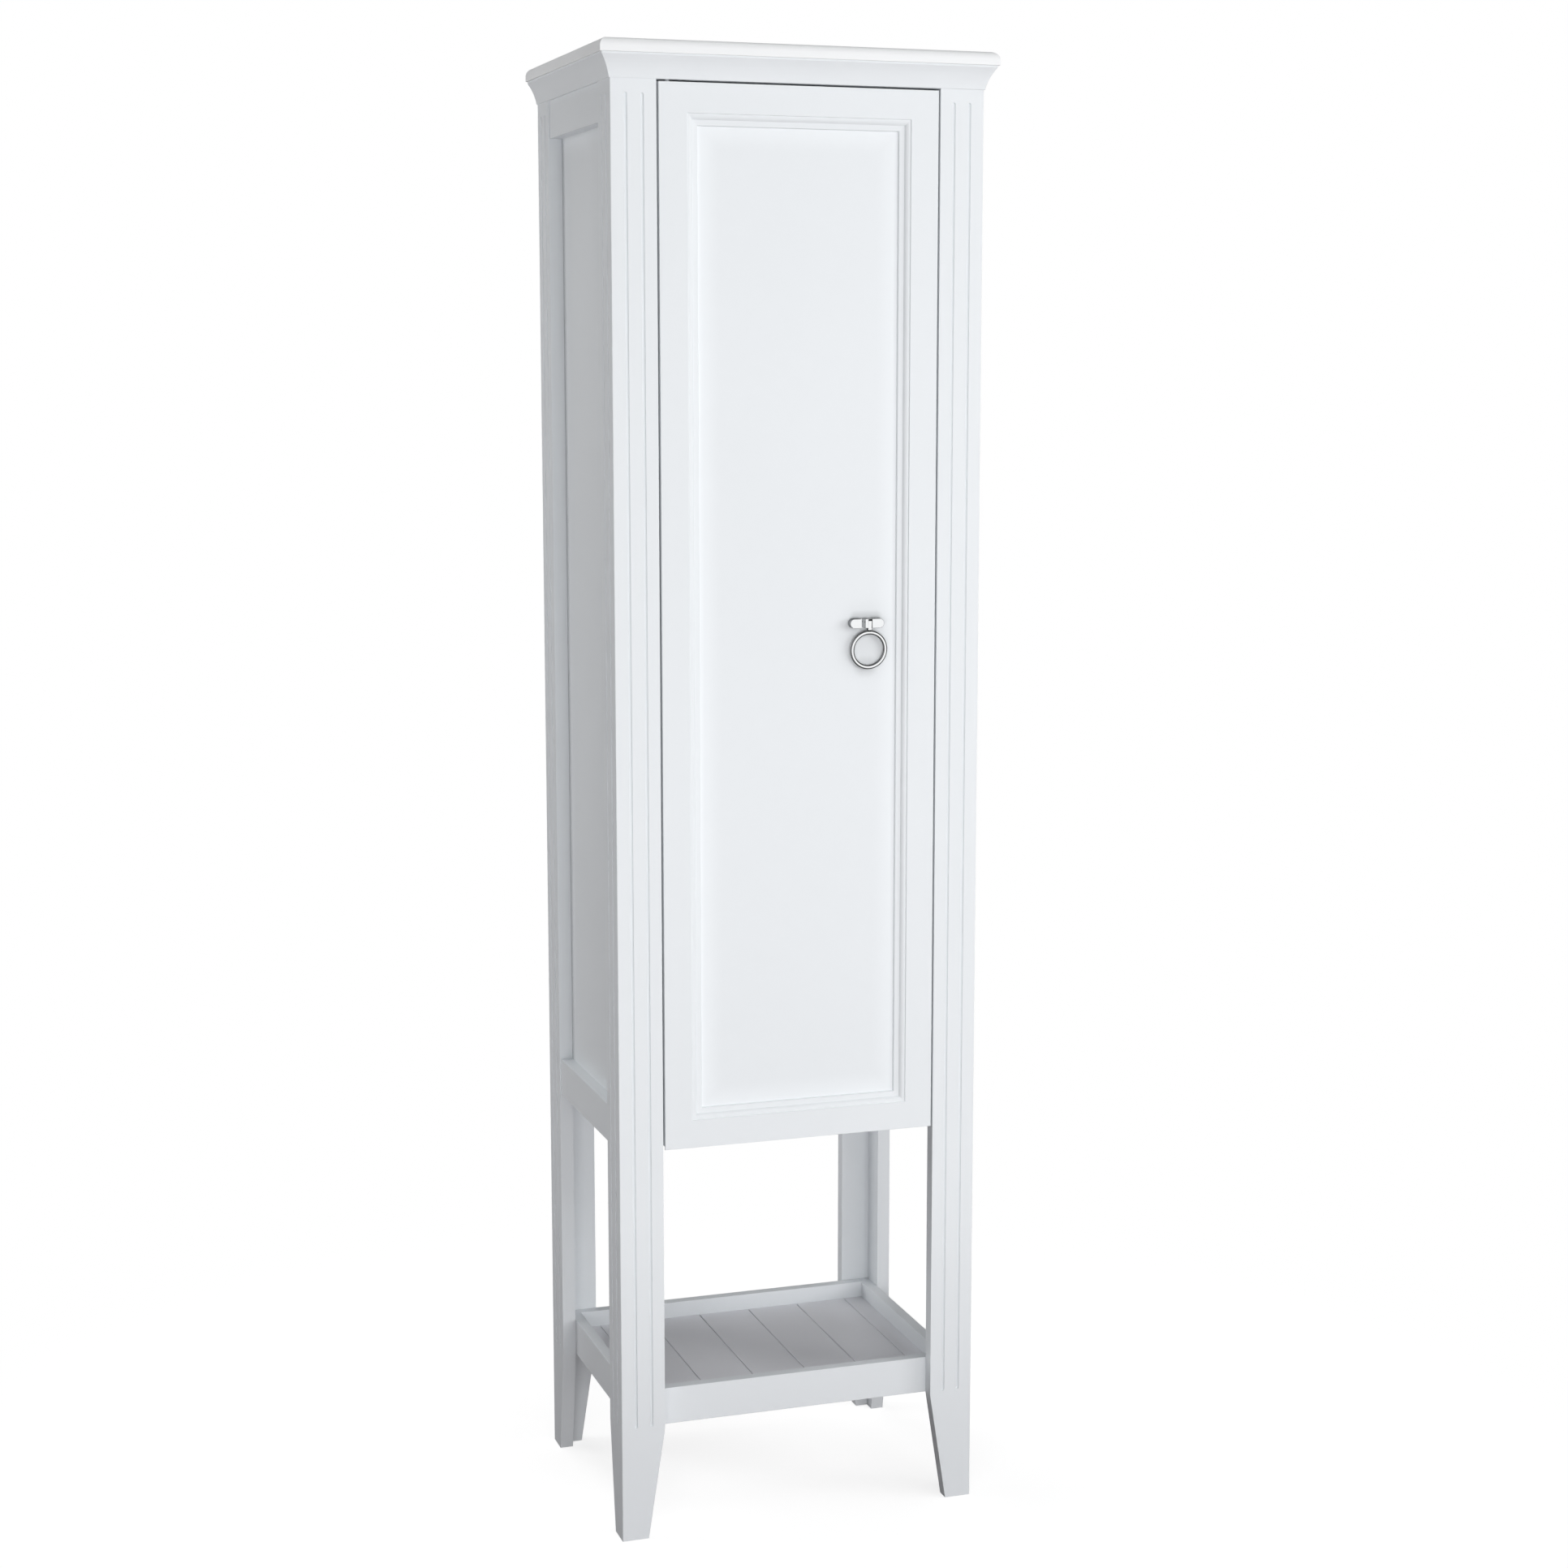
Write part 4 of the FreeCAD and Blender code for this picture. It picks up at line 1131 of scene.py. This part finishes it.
def buildRing(front):
    # a ring on a stem with a knuckle that turns on the pin
    pinY = front + pull["pinBehind"]
    hinge = Vector((pull["x"], pinY, pull["pinZ"]))
    radius, wire, long = pull["ring"], pull["wire"], pull["stemLength"]
    lowY = front + pull["panelBehind"] - wire - pull["ringPlay"]
    lean = math.asin((lowY - pinY) / (long + 2 * radius))
    down = Vector((0, math.sin(lean), -math.cos(lean)))
    forward = Vector((0, -math.cos(lean), -math.sin(lean)))
    turns = [2 * math.pi * step / pull["across"] for step in range(pull["across"])]
    loop = [(radius + wire * math.cos(turn), wire * math.sin(turn)) for turn in turns]
    ring = aimed(turnedShape(loop + loop[:1], pull["around"]),
                 hinge + down * (long + radius), forward)

    half = [(x * mm, d * mm) for x, d in pull["stem"]]
    outline = half + [(-x, d) for x, d in reversed(half)]
    thick = forward * (pull["stemThick"] / 2)
    stem = outwards(loftedShape(*(
        [hinge + offset + Vector((x, 0, 0)) + down * d for x, d in outline]
        for offset in (thick, -thick))))
    rounded(stem, [edge for edge in stem.edges if edge.is_convex
                   and edge.calc_face_angle(0) > math.radians(pull["stemTurn"])],
            pull["stemEdge"])
    neckRadius, neckStart = pull["neck"]
    neck = aimed(rodShape(neckRadius, 0, long - neckStart, pull["neckFacets"]),
                 hinge + down * neckStart, down)
    across = Vector((1, 0, 0))
    wide, edge = pull["stemWidth"], pull["knuckleEdge"]
    knuckle = turnedShape(rimmedProfile(pull["knuckle"], 0, wide, edge, edge),
                          pull["knuckleFacets"])
    hole = rodShape(pull["bore"], 0, 3 * wide, pull["pinFacets"])
    whole = carved(ring, [aimed(hole, hinge - across * 1.5 * wide, across)],
                   [neck, stem, aimed(knuckle, hinge - across * wide / 2, across)])
    takeMesh("ringPull", whole, "ringChrome", "pull_ring")


def buildHandle():
    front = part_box("door_left_stile")[0].y
    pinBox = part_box("handle_pin")
    buildPlate(front, pinBox)
    rim = pull["pinRim"]
    shape = turnedShape(rimmedProfile(pull["pinRadius"], 0, pinBox[1].x - pinBox[0].x,
                                      rim, rim), pull["pinFacets"])
    pin = middleOf(pinBox)
    takeMesh("handlePin", aimed(shape, (pinBox[0].x, pin.y, pin.z), (1, 0, 0)), "pinSteel",
             "handle_pin")
    buildRing(front)


buildHandle()
print("ring pull: made")


floorLook = {
    "size": 14.0, "colour": (0.33, 0.30, 0.308, 1), "litColour": (1.9, 1.9, 1.9, 1),
    "shadow": (0.35, 1.2, 0.22, 0.0),   # where its fade starts and ends, and its strength there
}
room = {"ambient": 0.0, "front": 0.95, "sides": 0.06, "frontEnds": (-0.75, -0.45)}


def mixed(tree, share, first, second):
    return addNode(tree, "ShaderNodeMixShader", {"Fac": share, 1: first, 2: second})


def layFloor():
    shaper = bmesh.new()
    bmesh.ops.create_grid(shaper, x_segments=1, y_segments=1, size=floorLook["size"] / 2)
    paleFloor = placedObject("paleFloor", meshOf("paleFloor", shaper))
    floorPaint = bpy.data.materials.new("floorPaint")
    tree = nodesOf(floorPaint)
    path = addNode(tree, "ShaderNodeLightPath").outputs
    matt, lit = (addNode(tree, "ShaderNodeBsdfDiffuse", {"Color": colour})
                 for colour in (floorLook["colour"], floorLook["litColour"]))
    # shiny metal looks through the floor at the room
    clear = addNode(tree, "ShaderNodeBsdfTransparent")
    unseen = mixed(tree, path["Is Glossy Ray"], matt, clear)
    # the camera sees white, with the cabinet's shadow kept near its feet
    glow = addNode(tree, "ShaderNodeEmission", {"Strength": 1.0})
    where = addNode(tree, "ShaderNodeTexCoord").outputs["Object"]
    away = calcVector(tree, "LENGTH", where).outputs["Value"]
    seen = mixed(tree, ramped(tree, away, *floorLook["shadow"]), glow, lit)
    addNode(tree, "ShaderNodeOutputMaterial", {
        "Surface": mixed(tree, path["Is Camera Ray"], unseen, seen)})
    paleFloor.data.materials.append(floorPaint)


def paintRoom():
    scene.world = bpy.data.worlds.new("paleRoom")
    tree = nodesOf(scene.world)
    path = addNode(tree, "ShaderNodeLightPath").outputs
    # what shiny metal sees: a bright front of the room and dim sides
    aim = addNode(tree, "ShaderNodeTexCoord").outputs["Generated"]
    mirrored = ramped(tree, axisOf(tree, aim, "Y"), *room["frontEnds"], room["front"],
                      room["sides"])
    soft, shiny, white = (addNode(tree, "ShaderNodeBackground", {
        "Color": (1, 1, 1, 1), "Strength": strength})
        for strength in (room["ambient"], mirrored, 1.0))
    lit = mixed(tree, path["Is Glossy Ray"], soft, shiny)
    addNode(tree, "ShaderNodeOutputWorld", {
        "Surface": mixed(tree, path["Is Camera Ray"], lit, white)})


layFloor()
paintRoom()

lamps = {
    # name: place, aimed at, size, watts
    "frontRightHigh": ((1.5, -3.4, 2.7), (0.0, 0.0, 1.1), (1.6, 1.6), 24.5),
    "frontLeftHigh": ((-1.5, -3.4, 2.7), (0.0, 0.0, 1.1), (1.6, 1.6), 9.5),
    "frontLeftLow": ((-1.6, -3.2, 0.7), (0.0, 0.0, 0.9), (1.6, 1.6), 23.7),
    "frontLow": ((0.0, -3.4, 0.5), (0.0, 0.0, 0.9), (1.6, 0.8), 38.5),
    "leftBack": ((-2.6, 1.4, 1.4), (-0.2, 0.1, 0.9), (1.6, 2.2), 35.0),
    "rightSide": ((2.8, -2.2, 1.4), (0.0, 0.0, 1.0), (1.6, 1.6), 35.5),
    "rightHigh": ((3.0, -1.2, 2.4), (0.0, 0.0, 1.1), (1.6, 1.6), 16.7),
    "overhead": ((0.0, -1.2, 4.2), (0.0, 0.0, 1.8), (2.0, 2.0), 10.0),
    "overCornice": ((-0.3, -1.3, 3.1), (0.0, -0.15, 1.8), (1.0, 0.8), 2.0),
    "topEdge": ((-0.2, 0.5, 3.6), (0.0, -0.1, 1.8), (1.4, 1.0), 14.0),
    "back": ((-1.15, 3.2, 1.8), (0.0, 0.0, 0.9), (1.6, 1.6), 28.0),
}


def aimedAt(thing, place, way):
    thing.location = place
    thing.rotation_euler = way.to_track_quat("-Z", "Y").to_euler()


for name, (place, target, size, watts) in lamps.items():
    lamp = bpy.data.lights.new(name, "AREA")
    lamp.shape = "RECTANGLE"
    lamp.size, lamp.size_y = size
    lamp.energy = watts
    holder = placedObject(name, lamp)
    aimedAt(holder, place, Vector(target) - Vector(place))
    holder.visible_glossy = False

camera = {
    "place": (-1.0663, -3.2845, 1.4253),
    "forward": (0.31450, 0.93767, -0.14785),
    "lens": 63.34, "sensor": 36.0, "near": 0.05, "far": 60.0,
}
lens = bpy.data.cameras.new("camera")
lens.sensor_width = camera["sensor"]
lens.lens = camera["lens"]
lens.clip_start = camera["near"]
lens.clip_end = camera["far"]
viewer = placedObject("camera", lens)
aimedAt(viewer, camera["place"], Vector(camera["forward"]))
scene.camera = viewer
scene.view_settings.view_transform = "Standard"
print("stage: floor, lamps and camera set")
